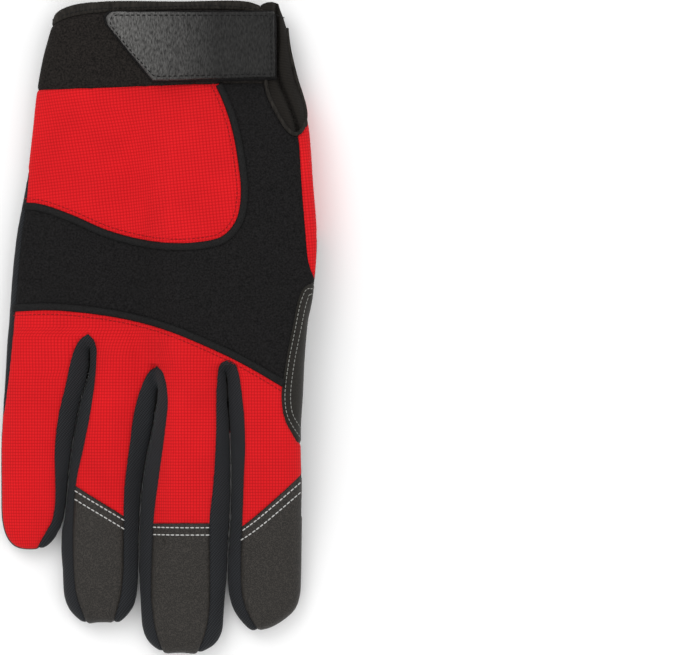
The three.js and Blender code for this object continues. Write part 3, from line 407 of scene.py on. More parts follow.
caps = {
    "ring": dict(back=curve([(-0.4, 0.70), (-0.311, 0.728), (-0.267, 0.743), (-0.109, 0.79),
                             (-0.058, 0.806), (0, 0.83)]),
                 front=shares((-0.45, 0.825), (0, 0.825)), over=(ring_back_left, ring_back_right),
                 under=(ring_front_left, ring_front_right)),
    "middle": dict(back=shares((-0.1, 0.801), (0.25, 0.801)), front=shares((-0.1, 0.834), (0.25, 0.834)),
                   over=(middle_back_left, middle_back_right),
                   under=(middle_front_left, middle_front_right)),
    "index": dict(back=curve([(0.2, 0.823), (0.267, 0.804), (0.443, 0.731), (0.55, 0.68)]),
                  front=curve([(0.2, 0.79), (0.27, 0.79), (0.55, 0.783)]),
                  over=(index_back_left, outer_side),
                  under=(index_front_left, outer_side)),
}


def cap_outline(name, seams):
    """The part of a finger between two of its cap's side seams."""
    left, right = caps[name][seams]
    return np.vstack([left, tips[name], right[::-1]])


# Panels
# The skin is cut along each seam line, so that every panel has a clean edge, and each triangle is given
# to the panel it lies in.
def cut(points, triangles, value, where):
    """Splits the triangles in where along the line on which value is zero."""
    value = np.where(np.abs(value) < 0.1, 0.0, value)
    side = np.sign(value)[triangles]
    hit = where & (side.min(1) < 0) & (side.max(1) > 0)
    keep, work = triangles[~hit], triangles[hit]
    made, fresh, new = {}, [], []

    def between(a, b):
        key = (min(a, b), max(a, b))
        if key not in made:
            t = value[key[0]] / (value[key[0]] - value[key[1]])
            made[key] = len(points) + len(fresh)
            fresh.append(points[key[0]] * (1 - t) + points[key[1]] * t)
        return made[key]

    for face in work:
        signs = np.sign(value[face])
        if (signs == 0).any():
            k = int(np.argmax(signs == 0))
            a, b, c = np.roll(face, -k)
            m = between(b, c)
            new += [(a, b, m), (a, m, c)]
            continue
        k = int(np.argmax(signs != np.sign(signs.sum())))
        a, b, c = np.roll(face, -k)
        m, n = between(a, b), between(a, c)
        new += [(a, m, n), (m, b, c), (m, c, n)]
    if not new:
        return points, triangles
    return np.vstack([points, np.array(fresh)]), np.vstack([keep, np.array(new, int)])


def centres():
    return points[triangles].mean(1)


def on_thumb(c):
    return (c[:, 2] < underside(c[:, 0], c[:, 1]) - 1.1) & (c[:, 0] > 4) & (c[:, 1] < 92) & (c[:, 1] > -42)


HALF_THUMB = 4.75
whole_points, whole_triangles = points.copy(), triangles.copy()
for value, where in (
    (lambda p: past(p, rim_edge), lambda c: c[:, 1] > 100),
    (lambda p: past(p, rim_hem), lambda c: c[:, 1] > 100),
    (lambda p: past(p, cuff_seam), lambda c: c[:, 1] > 80),
    (middle_height, lambda c: (c[:, 1] < 128) & (c[:, 2] > underside(c[:, 0], c[:, 1]) + 2)),
    (lambda p: within(p, vent_edge), lambda c: (c[:, 1] > 60) & (middle_height(c) > 0)),
    (lambda p: within(p, back_outline), lambda c: (c[:, 1] < 95) & (middle_height(c) > 0)),
    (lambda p: within(p, panel_outline),
     lambda c: (c[:, 1] > 20) & (c[:, 1] < 95) & (middle_height(c) > 0)),
    (lambda p: past(p, lower_welt), lambda c: (abs(c[:, 1]) < 32) & (middle_height(c) > 0)),
    (lambda p: within(p, patch_outline), lambda c: (c[:, 0] > 38) & (c[:, 1] < 25) & (c[:, 1] > -50)),
    (lambda p: within(p, thumb_patch_outline), lambda c: (c[:, 0] > 34) & (c[:, 1] < 45) & (c[:, 2] < 14)),
    (lambda p: within(p, red_outline), lambda c: (c[:, 0] > 4) & (c[:, 1] > -42) & (c[:, 2] < 7)),
    (lambda p: HALF_THUMB - p[:, 2], lambda c: on_thumb(c)),
    (lambda p: within(p, thumb_tip_outline), lambda c: on_thumb(c)),
):
    points, triangles = cut(points, triangles, value(points), where(centres()))
for cap in caps.values():
    for seam, seams, upper in (("back", "over", True), ("front", "under", False)):
        box = np.vstack(cap[seams])
        lo, hi = box.min(0) - 3, box.max(0) + 3
        c = centres()
        near = (c[:, 0] > lo[0]) & (c[:, 0] < min(hi[0], 62)) & (c[:, 1] < min(hi[1], -40))
        near &= (middle_height(c) > 0) == upper
        points, triangles = cut(points, triangles, past(points, cap[seam]), near)
palm_outline = np.vstack([
    shares((-0.7, 0.1), (-0.7, 0.9), (-0.4, 0.9)), pinky_front_right[::-1], ring_front_left[1:],
    tips["ring"],
    ring_front_right[::-1], middle_front_left[1:], tips["middle"], middle_front_right[::-1],
    index_front_left[1:], tips["index"], shares((0.7, 0.1))])
c = centres()
points, triangles = cut(points, triangles, within(points, palm_outline),
                        (c[:, 1] < 0) & (middle_height(c) < 0) & ~on_thumb(c))

c = centres()
x, y, z = c.T
upper = middle_height(c) > 0
label = np.full(len(c), "palm", dtype="<U24")
side_wall = (x > 0.43 * WIDTH) & (y > LENGTH * (0.5 - 0.43))
inside_palm = within(c, palm_outline) > 0
label[~inside_palm & ~upper] = "fourchette"
thumb = on_thumb(c)
label[thumb] = "thumb_front"
label[thumb & (within(c, thumb_tip_outline) > 0)] = "thumb_tip_cap"
red = (within(c, red_outline) > 0) & thumb & (z < HALF_THUMB)
label[red | (side_wall & (z > HALF_THUMB) & ~upper) | (side_wall & thumb)] = "thumb_back"
label[upper] = "fourchette"
label[upper & (x > 0.43 * WIDTH) & (y > LENGTH * (0.5 - 0.436))] = "thumb_back"
inside_back = upper & (within(c, back_outline) > 0)
label[inside_back] = "finger_back"
label[inside_back & (past(c, lower_welt) < 0)] = "knuckle_band"
label[inside_back & (within(c, panel_outline) > 0)] = "back_panel"
patch = within(c, patch_outline) > 0
patch |= (within(c, thumb_patch_outline) > 0) & (z < 12)
label[patch & (x > 38)] = "thumb_patch"
for name, cap in caps.items():
    over = within(c, cap_outline(name, "over")) > 0
    under = within(c, cap_outline(name, "under")) > 0
    label[upper & over & (past(c, cap["back"]) > 0)] = "fingertip_cap_" + name
    label[~upper & under & (past(c, cap["front"]) > 0)] = "fingertip_cap_" + name
ring_axis = np.interp(y, [-120, -20], [-22.5, -13])
middle_axis = np.interp(y, [-120, -20], [9.5, 13])
loose = label == "fourchette"
label[loose & (x < ring_axis)] = "fourchette_pinky_ring"
label[loose & (x >= ring_axis) & (x < middle_axis)] = "fourchette_ring_middle"
label[loose & (x >= middle_axis)] = "fourchette_middle_index"
cuff = past(c, cuff_seam) < 0
label[cuff] = "cuff_band"
label[upper & (x > 0.4 * WIDTH) & (y > LENGTH * (0.5 - 0.192))] = "cuff_band"
label[past(c, rim_hem) < 0] = "rim_binding"
opened = upper & (within(c, vent_edge) > 0)
label[opened | (past(c, rim_edge) < 0)] = "gone"


# Cloth and leather
# Every material is made of nodes: a grid weave for the stretch cloth, a fine grain for the neoprene and
# knit, brushed nap for the suede, pebbles for the leathers and raised dots on the pads.
def material(name, colour, rough, **more):
    made = bpy.data.materials.new(name)
    made.use_nodes = True
    shader = made.node_tree.nodes["Principled BSDF"]
    shader.inputs["Base Color"].default_value = (*colour, 1)
    shader.inputs["Roughness"].default_value = rough
    shader.inputs["Specular IOR Level"].default_value = 0.15
    for key, value in more.items():
        shader.inputs[key.replace("_", " ")].default_value = value
    return made


def node(tree, kind, **values):
    made = tree.nodes.new(kind)
    for key, value in values.items():
        if key.startswith("in_"):
            made.inputs[int(key[3:])].default_value = value
        else:
            setattr(made, key, value)
    return made


def places(tree):
    """Where a point lies on the glove, in metres."""
    return node(tree, "ShaderNodeTexCoord").outputs["Object"]


def apart(tree, vector):
    """The three numbers of a vector."""
    parts = node(tree, "ShaderNodeSeparateXYZ")
    tree.links.new(vector, parts.inputs["Vector"])
    return parts


def grain(made, scale, depth, dark, light, kind="noise", detail=2.0, stretch=(1, 1, 1)):
    """Mixes two tones by a fine texture and raises it as bump."""
    tree = made.node_tree
    shader = tree.nodes["Principled BSDF"]
    size = node(tree, "ShaderNodeMapping")
    size.inputs["Scale"].default_value = stretch
    tree.links.new(places(tree), size.inputs["Vector"])
    if kind == "noise":
        pattern = node(tree, "ShaderNodeTexNoise")
        pattern.inputs["Detail"].default_value = detail
        output = pattern.outputs["Fac"]
    else:
        pattern = node(tree, "ShaderNodeTexVoronoi", feature="SMOOTH_F1")
        pattern.inputs["Smoothness"].default_value = 0.35
        output = pattern.outputs["Distance"]
    pattern.inputs["Scale"].default_value = scale
    tree.links.new(size.outputs["Vector"], pattern.inputs["Vector"])
    ramp = node(tree, "ShaderNodeValToRGB")
    ramp.color_ramp.elements[0].position = 0.3
    ramp.color_ramp.elements[0].color = (*dark, 1)
    ramp.color_ramp.elements[1].position = 0.72
    ramp.color_ramp.elements[1].color = (*light, 1)
    tree.links.new(output, ramp.inputs["Fac"])
    tree.links.new(ramp.outputs["Color"], shader.inputs["Base Color"])
    bump = node(tree, "ShaderNodeBump")
    bump.inputs["Distance"].default_value = depth
    bump.inputs["Strength"].default_value = 0.8
    tree.links.new(output, bump.inputs["Height"])
    tree.links.new(bump.outputs["Normal"], shader.inputs["Normal"])
    return made


def painted_light_across(made, start, end):
    """Paints light and shade into a material's colour: its colour is scaled from one factor to another
    along the glove's width, brighter as a painted highlight where the factor is high and darker as painted
    shade where it is low.
    """
    tree = made.node_tree
    shader = tree.nodes["Principled BSDF"]
    colour = shader.inputs["Base Color"].links[0].from_socket
    parts = apart(tree, places(tree))
    span = node(tree, "ShaderNodeMapRange")
    for key, value in zip(("From Min", "To Min", "From Max", "To Max"), (*start, *end)):
        span.inputs[key].default_value = value
    tree.links.new(parts.outputs["X"], span.inputs["Value"])
    tint = node(tree, "ShaderNodeVectorMath", operation="SCALE")
    tree.links.new(colour, tint.inputs[0])
    tree.links.new(span.outputs["Result"], tint.inputs["Scale"])
    tree.links.new(tint.outputs["Vector"], shader.inputs["Base Color"])
    return made


def ripple(tree, value, period):
    """A wave of the given period from 0 to 1 over a value."""
    turned = node(tree, "ShaderNodeMath", operation="MULTIPLY", in_1=math.pi / period)
    tree.links.new(value, turned.inputs[0])
    sine = node(tree, "ShaderNodeMath", operation="SINE")
    tree.links.new(turned.outputs[0], sine.inputs[0])
    size = node(tree, "ShaderNodeMath", operation="ABSOLUTE")
    tree.links.new(sine.outputs[0], size.inputs[0])
    return size.outputs[0]


def relief(made, height, dark, light, depth, spread=0.6):
    """Colours a material by a height, raises it as bump, and lets its tone drift over the cloth."""
    tree = made.node_tree
    shader = tree.nodes["Principled BSDF"]
    ramp = node(tree, "ShaderNodeValToRGB")
    ramp.color_ramp.elements[0].position = 0.0
    ramp.color_ramp.elements[0].color = (*dark, 1)
    ramp.color_ramp.elements[1].position = spread
    ramp.color_ramp.elements[1].color = (*light, 1)
    tree.links.new(height, ramp.inputs["Fac"])
    drift = node(tree, "ShaderNodeTexNoise")
    drift.inputs["Scale"].default_value = 60
    tree.links.new(places(tree), drift.inputs["Vector"])
    span = node(tree, "ShaderNodeMapRange")
    span.inputs["To Min"].default_value = 0.88
    span.inputs["To Max"].default_value = 1.12
    tree.links.new(drift.outputs["Fac"], span.inputs["Value"])
    tint = node(tree, "ShaderNodeVectorMath", operation="SCALE")
    tree.links.new(ramp.outputs["Color"], tint.inputs[0])
    tree.links.new(span.outputs["Result"], tint.inputs["Scale"])
    tree.links.new(tint.outputs["Vector"], shader.inputs["Base Color"])
    bump = node(tree, "ShaderNodeBump")
    bump.inputs["Distance"].default_value = depth
    bump.inputs["Strength"].default_value = 0.6
    tree.links.new(height, bump.inputs["Height"])
    tree.links.new(bump.outputs["Normal"], shader.inputs["Normal"])
    return made


def weave(name, dark, light, column, row):
    """Raised squares in columns and rows along the cloth's own map, or rows alone,
    with dark lines between."""
    made = material(name, light, 0.85, Sheen_Weight=0.02, Sheen_Roughness=0.5, Specular_IOR_Level=0.08)
    tree = made.node_tree
    parts = apart(tree, node(tree, "ShaderNodeUVMap", uv_map="weave").outputs["UV"])
    height = ripple(tree, parts.outputs["Y"], row)
    if column:
        both = node(tree, "ShaderNodeMath", operation="MULTIPLY")
        tree.links.new(ripple(tree, parts.outputs["X"], column), both.inputs[0])
        tree.links.new(height, both.inputs[1])
        height = both.outputs[0]
    return relief(made, height, dark, light, 0.0002)


def dotted(made, period, depth):
    """Raises small round dots, in slanting rows, over a material's own grain."""
    tree = made.node_tree
    shader = tree.nodes["Principled BSDF"]
    under = shader.inputs["Normal"].links[0].from_socket
    size = node(tree, "ShaderNodeMapping")
    size.inputs["Rotation"].default_value = (0, 0, math.radians(45))
    size.inputs["Scale"].default_value = (1 / period, 1 / period, 0)
    cells = node(tree, "ShaderNodeTexVoronoi", voronoi_dimensions="2D")
    cells.inputs["Scale"].default_value = 1.0
    cells.inputs["Randomness"].default_value = 0.0
    rise = node(tree, "ShaderNodeValToRGB")
    rise.color_ramp.elements[0].position = 0.16
    rise.color_ramp.elements[0].color = (1, 1, 1, 1)
    rise.color_ramp.elements[1].position = 0.3
    rise.color_ramp.elements[1].color = (0, 0, 0, 1)
    bump = node(tree, "ShaderNodeBump")
    bump.inputs["Distance"].default_value = depth
    tree.links.new(places(tree), size.inputs["Vector"])
    tree.links.new(size.outputs["Vector"], cells.inputs["Vector"])
    tree.links.new(cells.outputs["Distance"], rise.inputs["Fac"])
    tree.links.new(rise.outputs["Color"], bump.inputs["Height"])
    tree.links.new(under, bump.inputs["Normal"])
    tree.links.new(bump.outputs["Normal"], shader.inputs["Normal"])
    return made


def twill(name, dark, light, period):
    """Fine slanting ribs of a knitted tape."""
    made = material(name, light, 0.85, Sheen_Weight=0.05)
    tree = made.node_tree
    parts = apart(tree, places(tree))
    slant = node(tree, "ShaderNodeMath", operation="MULTIPLY_ADD", in_1=0.8)
    tree.links.new(parts.outputs["X"], slant.inputs[0])
    tree.links.new(parts.outputs["Y"], slant.inputs[2])
    across_it = node(tree, "ShaderNodeMath", operation="MULTIPLY_ADD", in_1=-1.3)
    tree.links.new(parts.outputs["X"], across_it.inputs[0])
    tree.links.new(parts.outputs["Y"], across_it.inputs[2])
    height = node(tree, "ShaderNodeMath", operation="MULTIPLY")
    tree.links.new(ripple(tree, slant.outputs[0], period), height.inputs[0])
    tree.links.new(ripple(tree, across_it.outputs[0], period * 1.7), height.inputs[1])
    return relief(made, height.outputs[0], dark, light, 0.00016)


red_cloth = weave("red_cloth", (0.42, 0.006, 0.008), (0.645, 0.0108, 0.0148), 1.25, 1.16)
neoprene = grain(material("neoprene", (0.007, 0.0066, 0.0068), 0.85, Specular_IOR_Level=0.12),
                 1500, 0.00014,
                 (0.0025, 0.0023, 0.0024), (0.0125, 0.0118, 0.0120))
cuff_cloth = grain(material("cuff_neoprene", (0.010, 0.009, 0.008), 0.85, Specular_IOR_Level=0.12),
                   1500, 0.00016,
                   (0.0032, 0.0027, 0.0024), (0.0205, 0.0172, 0.0152))
ribs = weave("gusset_ribs", (0.0045, 0.004, 0.0034), (0.0165, 0.0145, 0.0125), None, 0.6)
tape = grain(material("knit_tape", (0.012, 0.0105, 0.009), 0.85), 1200, 0.0002,
             (0.008, 0.007, 0.006), (0.026, 0.023, 0.0195), stretch=(1, 0.25, 1))
cord_cloth = grain(material("piping_cloth", (0.010, 0.010, 0.010), 0.7), 1700, 0.00012,
                   (0.003, 0.003, 0.003), (0.0105, 0.0102, 0.0104))
knit = twill("fourchette_knit", (0.0015, 0.0018, 0.0022), (0.0245, 0.0262, 0.0295), 0.00085)
suede = grain(material("suede", (0.011, 0.0095, 0.0072), 0.95, Sheen_Weight=0.12, Sheen_Roughness=0.6),
              1300, 0.00012,
              (0.0075, 0.0064, 0.0048), (0.0165, 0.0145, 0.011), detail=4)
cap_leather = grain(material("cap_leather", (0.036, 0.032, 0.028), 0.55, Specular_IOR_Level=0.24),
                    2200, 0.00025,
                    (0.0105, 0.0092, 0.0078), (0.034, 0.0298, 0.0256), kind="pebble")
pad_leather = dotted(grain(material("pad_leather", (0.038, 0.037, 0.035), 0.5, Specular_IOR_Level=0.35),
                           1300,
                           0.00018, (0.028, 0.027, 0.026), (0.046, 0.045, 0.043), kind="pebble"),
                           0.0022, 0.0005)
# The strap face's colour is scaled up at its left end and down towards its right end: a painted highlight
# and painted shade standing in for the light falling across the curved strap.
leatherette = painted_light_across(grain(material("leatherette", (0.05, 0.05, 0.049), 0.45, Specular_IOR_Level=0.18),
                          2000, 0.0004,
                          (0.010, 0.0098, 0.0094), (0.062, 0.061, 0.059), stretch=(1, 0.32, 1)),
                    (-0.016, 2.5), (0.022, 0.36))
thread = grain(material("thread", (0.5, 0.5, 0.49), 0.6), 3600, 0.0001, (0.3, 0.3, 0.29),
               (0.66, 0.66, 0.65))
grey_thread = grain(material("grey_thread", (0.22, 0.22, 0.2), 0.7), 3600, 0.0001, (0.12, 0.12, 0.11),
                    (0.3, 0.3, 0.28))
black_thread = grain(material("black_thread", (0.006, 0.006, 0.006), 0.6),
                     3600, 0.0001, (0.003, 0.003, 0.003),
                     (0.012, 0.012, 0.012))
red_thread = grain(material("red_thread", (0.26, 0.006, 0.008), 0.7), 3600, 0.0001, (0.18, 0.004, 0.005),
                   (0.34, 0.008, 0.01))
looks = {
    "rim_binding": tape, "cuff_band": cuff_cloth, "back_panel": red_cloth, "knuckle_band": neoprene,
    "finger_back": red_cloth, "fingertip_cap_ring": cap_leather, "fingertip_cap_middle": cap_leather,
    "fingertip_cap_index": cap_leather, "fourchette_pinky_ring": knit, "fourchette_ring_middle": knit,
    "fourchette_middle_index": knit, "palm": suede, "thumb_back": red_cloth, "thumb_front": suede,
    "thumb_tip_cap": cap_leather, "thumb_patch": suede}
walls = {"rim_binding": 2.0, "cuff_band": 1.6, "knuckle_band": 1.6, "palm": 1.2}


def normals_of(points, triangles):
    a, b, c = points[triangles].transpose(1, 0, 2)
    face = np.cross(b - a, c - a)
    total = np.zeros_like(points)
    for k in range(3):
        np.add.at(total, triangles[:, k], face)
    return total / np.maximum(np.linalg.norm(total, axis=1), 1e-9)[:, None]


def border_distance(points, triangles, reach):
    """Distance of each point from the edge of its panel, up to a reach, walked along the mesh."""
    edges = np.sort(np.vstack([triangles[:, [0, 1]], triangles[:, [1, 2]], triangles[:, [2, 0]]]), axis=1)
    edges, count = np.unique(edges, axis=0, return_counts=True)
    away = np.full(len(points), 1e3)
    away[np.unique(edges[count == 1])] = 0
    long = np.linalg.norm(points[edges[:, 0]] - points[edges[:, 1]], axis=1)
    for _ in range(int(reach / 0.4) + 4):
        np.minimum.at(away, edges[:, 0], away[edges[:, 1]] + long)
        np.minimum.at(away, edges[:, 1], away[edges[:, 0]] + long)
    return away


def piece(name, points, faces, look, *nodes):
    """A mesh in metres that rides on the glove, stands for the named nodes and stays above the floor."""
    points = np.maximum(points, (-1e3, -1e3, 0.02))
    mesh = bpy.data.meshes.new(name)
    mesh.from_pydata((points / 1000).tolist(), [], faces if isinstance(faces, list) else faces.tolist())
    mesh.materials.append(look)
    mesh.polygons.foreach_set("use_smooth", np.ones(len(mesh.polygons), bool))
    if look in (red_cloth, ribs):
        corner = np.empty(len(mesh.loops), int)
        mesh.loops.foreach_get("vertex_index", corner)
        mesh.uv_layers.new(name="weave").data.foreach_set("uv", threads(points)[corner].ravel())
    made = bpy.data.objects.new(name, mesh)
    bpy.context.scene.collection.objects.link(made)
    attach(made, "root")
    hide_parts(*nodes)
    return made


def threads(spots):
    """Where each point lies on the flat cloth,
    in millimetres: the drop of its sides is added to the width."""
    x, y, z = spots.T
    station = 0.5 - y / LENGTH
    lines = [gap_at(k, station)[0] for k in range(3)]
    finger = (x > lines[0]).astype(int) + (x > lines[1]) + (x > lines[2])
    edges = [np.full(len(x), -0.48 * WIDTH), *lines, np.full(len(x), 0.45 * WIDTH)]
    middle = np.choose(finger, [(edges[k] + edges[k + 1]) / 2 for k in range(4)])
    middle = middle * np.clip((station - 0.5) / 0.08, 0, 1)
    crest_height, drop_share, crest_half, slant_angle, slant_end = 15.5, 0.6, 6, 5.5, 0.42
    drop = np.maximum(underside(middle, y) + crest_height - z, 0) * drop_share
    x = x + np.tanh((x - middle) / crest_half) * drop
    slant = np.radians(slant_angle) * (station < slant_end)
    return np.column_stack([x * np.cos(slant) + y * np.sin(slant), y * np.cos(slant) - x * np.sin(slant)])


def shell(points, triangles, outward, thick):
    """A wall: an outer face, an inner face a thickness below it, and the edge between them."""
    inner = points - outward * thick
    edges = np.vstack([triangles[:, [0, 1]], triangles[:, [1, 2]], triangles[:, [2, 0]]])
    both = {tuple(edge) for edge in edges.tolist()}
    rim = np.array([edge for edge in edges.tolist() if (edge[1], edge[0]) not in both], int).reshape(-1, 2)
    n = len(points)
    sides = np.vstack([np.column_stack([rim[:, 1], rim[:, 0], rim[:, 0] + n]),
                       np.column_stack([rim[:, 1], rim[:, 0] + n, rim[:, 1] + n])])
    return np.vstack([points, inner]), np.vstack([triangles, triangles[:, ::-1] + n, sides])


outward = normals_of(points, triangles)
seam_reach, seam_sink, cap_rise = 1.8, 0.55, 0.25
for name in looks:
    part = triangles[label == name]
    used, part = np.unique(part, return_inverse=True)
    part = part.reshape(-1, 3)
    spots = points[used]
    facing = outward[used]
    away = border_distance(spots, part, 2.4)
    swell = -seam_sink * np.clip(1 - away / seam_reach, 0, 1) ** 2
    if name == "rim_binding":
        swell = 0.5 * np.sqrt(np.clip(away / 1.5, 0, 1)) - 0.2
    if name.startswith("fingertip_cap"):
        swell = swell + cap_rise * np.clip(away / 1.2, 0, 1)
    spots = spots + facing * swell[:, None]
    wall = shell(spots, part, facing, walls.get(name, 1.2))
    piece(name + "_cloth", *wall, looks[name], name)

# Piping
# Two cords of folded cloth lie along the edges of the knuckle band, and a third edges the vent.
skin_tree = BVHTree.FromPolygons(whole_points.tolist(), whole_triangles.tolist())


def laid(line, height, above=True, tree=skin_tree):
    """Points of a line in plan dropped on to a face, with the face's direction there."""
    found, facing = [], []
    for x, y in line:
        hit = tree.ray_cast(Vector((x, y, 80 if above else -40)), Vector((0, 0, -1 if above else 1)))
        if hit[0] is None:
            continue
        found.append(np.array(hit[0]) + np.array(hit[1]) * height)
        facing.append(np.array(hit[1]))
    found, facing = np.array(found), np.array(facing)
    for _ in range(4):
        found[1:-1] = (found[:-2] + 2 * found[1:-1] + found[2:]) / 4
        facing[1:-1] = (facing[:-2] + 2 * facing[1:-1] + facing[2:]) / 4
    return found, facing / np.linalg.norm(facing, axis=1)[:, None]


def tube(path, facing, wide, high, sides=12):
    """A flattened cord along a path, closed at both ends."""
    run = np.gradient(path, axis=0)
    run /= np.linalg.norm(run, axis=1)[:, None]
    aside = np.cross(facing, run)
    aside /= np.linalg.norm(aside, axis=1)[:, None]
    angle = np.arange(sides) * 2 * math.pi / sides
    rings = (path[:, None] + aside[:, None] * (np.cos(angle) * wide / 2)[None, :, None]
             + facing[:, None] * (np.sin(angle) * high / 2)[None, :, None])
    n = len(path)
    k = np.arange(sides)
    quads = []
    for row in range(n - 1):
        a, b = row * sides + k, row * sides + (k + 1) % sides
        quads += [tuple(q) for q in np.column_stack([a, b, b + sides, a + sides]).tolist()]
    quads.append(tuple(reversed(k.tolist())))
    quads.append(tuple(((n - 1) * sides + k).tolist()))
    return rings.reshape(-1, 3), quads


def laid_cord(name, line, wide, high, look, node_name):
    corners, quads = tube(*laid(line, 0.1), wide, high)
    piece(name, corners, quads, look, node_name)


upper_run = upper_welt[within(upper_welt, back_outline) > -0.5]
upper_run = upper_run[past(upper_run, cuff_seam) > 0]
laid_cord("upper_piping_cord", upper_run, 2.9, 1.9, cord_cloth, "upper_piping")
lower_run = lower_welt[within(lower_welt, back_outline) > -0.5]
laid_cord("lower_piping_cord", lower_run, 2.9, 1.9, cord_cloth, "lower_piping")
vent_run = vent_edge[vent_edge[:, 1] < 121.6]
laid_cord("vent_binding_cord", vent_run, 1.5, 1.6, tape, "vent_binding")


# Strap
# A tab of neoprene laid over the cuff and the vent, with a face of wrinkled leatherette stitched on.
def patch_on(outline, above):
    """A copy of the skin inside an outline, with the way that it faces."""
    c = whole_points[whole_triangles].mean(1)
    side = (middle_height(c) > 0) == above
    lo, hi = outline.min(0) - 2, outline.max(0) + 2
    near = side & (c[:, 0] > lo[0]) & (c[:, 0] < hi[0]) & (c[:, 1] > lo[1]) & (c[:, 1] < hi[1])
    if not above:
        near &= ~on_thumb(c)
    spots, part = whole_points, whole_triangles[near]
    spots, part = cut(spots, part, within(spots, outline), np.ones(len(part), bool))
    part = part[within(spots[part].mean(1), outline) > 0]
    used, part = np.unique(part, return_inverse=True)
    part = part.reshape(-1, 3)
    facing = normals_of(spots[used], part)
    return spots[used], part, facing


strap_outline = np.vstack([
    curve([(-0.14, 0.0145), (-0.158, 0.0155), (-0.172, 0.022), (-0.169, 0.034)]),
    shares((-0.1, 0.077), (-0.021, 0.1245), (0.372, 0.1205)),
    curve([(0.372, 0.1205), (0.371, 0.075), (0.366, 0.02), (0.358, 0.014)])])
spots, part, facing = patch_on(strap_outline, True)
away = border_distance(spots, part, 2)
lifted = spots + facing * (1.4 * np.clip(away / 0.8, 0, 1) ** 0.5 + 0.3)[:, None]
piece("wrist_strap_cloth", *shell(lifted, part, facing, 1.3), neoprene, "wrist_strap")
face_outline = np.vstack([
    curve([(-0.125, 0.0165), (-0.147, 0.0175), (-0.161, 0.025), (-0.157, 0.036)]),
    shares((-0.092, 0.076), (-0.016, 0.1205), (0.3645, 0.1165)),
    curve([(0.3645, 0.1165), (0.362, 0.068), (0.358, 0.0165)])])
spots, part, facing = patch_on(face_outline, True)
away = border_distance(spots, part, 3)
lifted = spots + facing * (1.8 + 0.8 * np.clip(away / 0.7, 0, 1) ** 0.5
                           - 0.35 * np.exp(-((away - 1.35) / 0.4) ** 2))[:, None]
piece("strap_face_leather", *shell(lifted, part, facing, 1.0), leatherette, "strap_face")
strap_top = BVHTree.FromPolygons(lifted.tolist(), part.tolist())

# Gusset
# A ribbed band folded into the vent, with a deep groove where its two halves meet.
groove = curve([
    (0.37, -0.03), (0.371, 0.012), (0.374, 0.058), (0.373, 0.108), (0.386, 0.129), (0.402, 0.147),
    (0.418, 0.166), (0.434, 0.189), (0.4385, 0.198)])
hump = curve([
    (0.25, 0.02), (0.31, 0.01), (0.33, 0.003), (0.356, 0.0), (0.38, 0.003), (0.394, 0.012), (0.43, 0.04)])
spots, part, facing = patch_on(vent_edge, True)
spots, part = cut(spots, part, past(spots, hump), np.ones(len(part), bool))
part = part[past(spots[part].mean(1), hump) > 0]
used, part = np.unique(part, return_inverse=True)
spots, part = spots[used], part.reshape(-1, 3)
away = np.min(np.linalg.norm(spots[:, None, :2] - groove[None], axis=2), axis=1)
side = np.interp(-spots[:, 1], -groove[:, 1], groove[:, 0]) < spots[:, 0]
roll_height, roll_reach = np.where(side, 1.1, 0.5), np.where(side, 6.0, 3.5)
roll = roll_height * np.sin(np.clip(away / roll_reach, 0, 1) * math.pi)
groove_depth, groove_half, sink = 3.0, 0.75, 0.5
facing = np.tile([0.0, 0.0, 1.0], (len(spots), 1))
sunk = spots + facing * (roll - sink - groove_depth * np.exp(-(away / groove_half) ** 2))[:, None]
piece("vent_gusset_knit", *shell(sunk, part, facing, 1.1), ribs, "vent_gusset")

# Pads
# Two padded grips on the palm, quilted along sewn channels. Their faces are flat where they rest.
heel_outline = curve([
    (0.145, 0.24), (0.115, 0.204), (0.049, 0.183), (-0.062, 0.17), (-0.188, 0.169), (-0.298, 0.181),
    (-0.371, 0.204), (-0.415, 0.239), (-0.44, 0.281), (-0.452, 0.327), (-0.45, 0.373), (-0.436, 0.393),
    (-0.377, 0.419), (-0.267, 0.447), (-0.125, 0.468), (0.002, 0.48), (0.1, 0.48), (0.16, 0.46),
    (0.17, 0.35)], closed=True)
knuckle_outline = curve([
    (0.36, 0.51), (0.2, 0.5), (0.08, 0.494), (-0.046, 0.49), (-0.172, 0.474), (-0.282, 0.453),
    (-0.361, 0.437), (-0.424, 0.434), (-0.458, 0.448), (-0.475, 0.476), (-0.475, 0.507), (-0.462, 0.531),
    (-0.424, 0.543), (-0.298, 0.546), (-0.257, 0.562), (-0.222, 0.585), (-0.205, 0.629), (-0.185, 0.657),
    (-0.14, 0.668), (-0.095, 0.655), (-0.07, 0.623), (-0.058, 0.585), (-0.035, 0.556), (-0.004, 0.548),
    (0.027, 0.562), (0.042, 0.605), (0.06, 0.654), (0.11, 0.67), (0.16, 0.655), (0.185, 0.61), (0.2, 0.562),
    (0.222, 0.545), (0.245, 0.562), (0.26, 0.61), (0.275, 0.65), (0.315, 0.662), (0.35, 0.645), (0.37, 0.6),
    (0.375, 0.545)], closed=True)
channels = {"heel_pad": [curve([(-0.14, 0.183), (-0.09, 0.236), (0.005, 0.304), (0.055, 0.333),
                                (0.1, 0.355)]),
                         curve([(-0.39, 0.278), (-0.31, 0.304), (-0.2, 0.336), (-0.09, 0.364), (0.0, 0.385),
                                (0.085, 0.4)])],
            "knuckle_pad": []}
pad_faces = {}
crown, crown_reach, row_depth, row_half = 1.75, 1.5, 0.55, 0.6
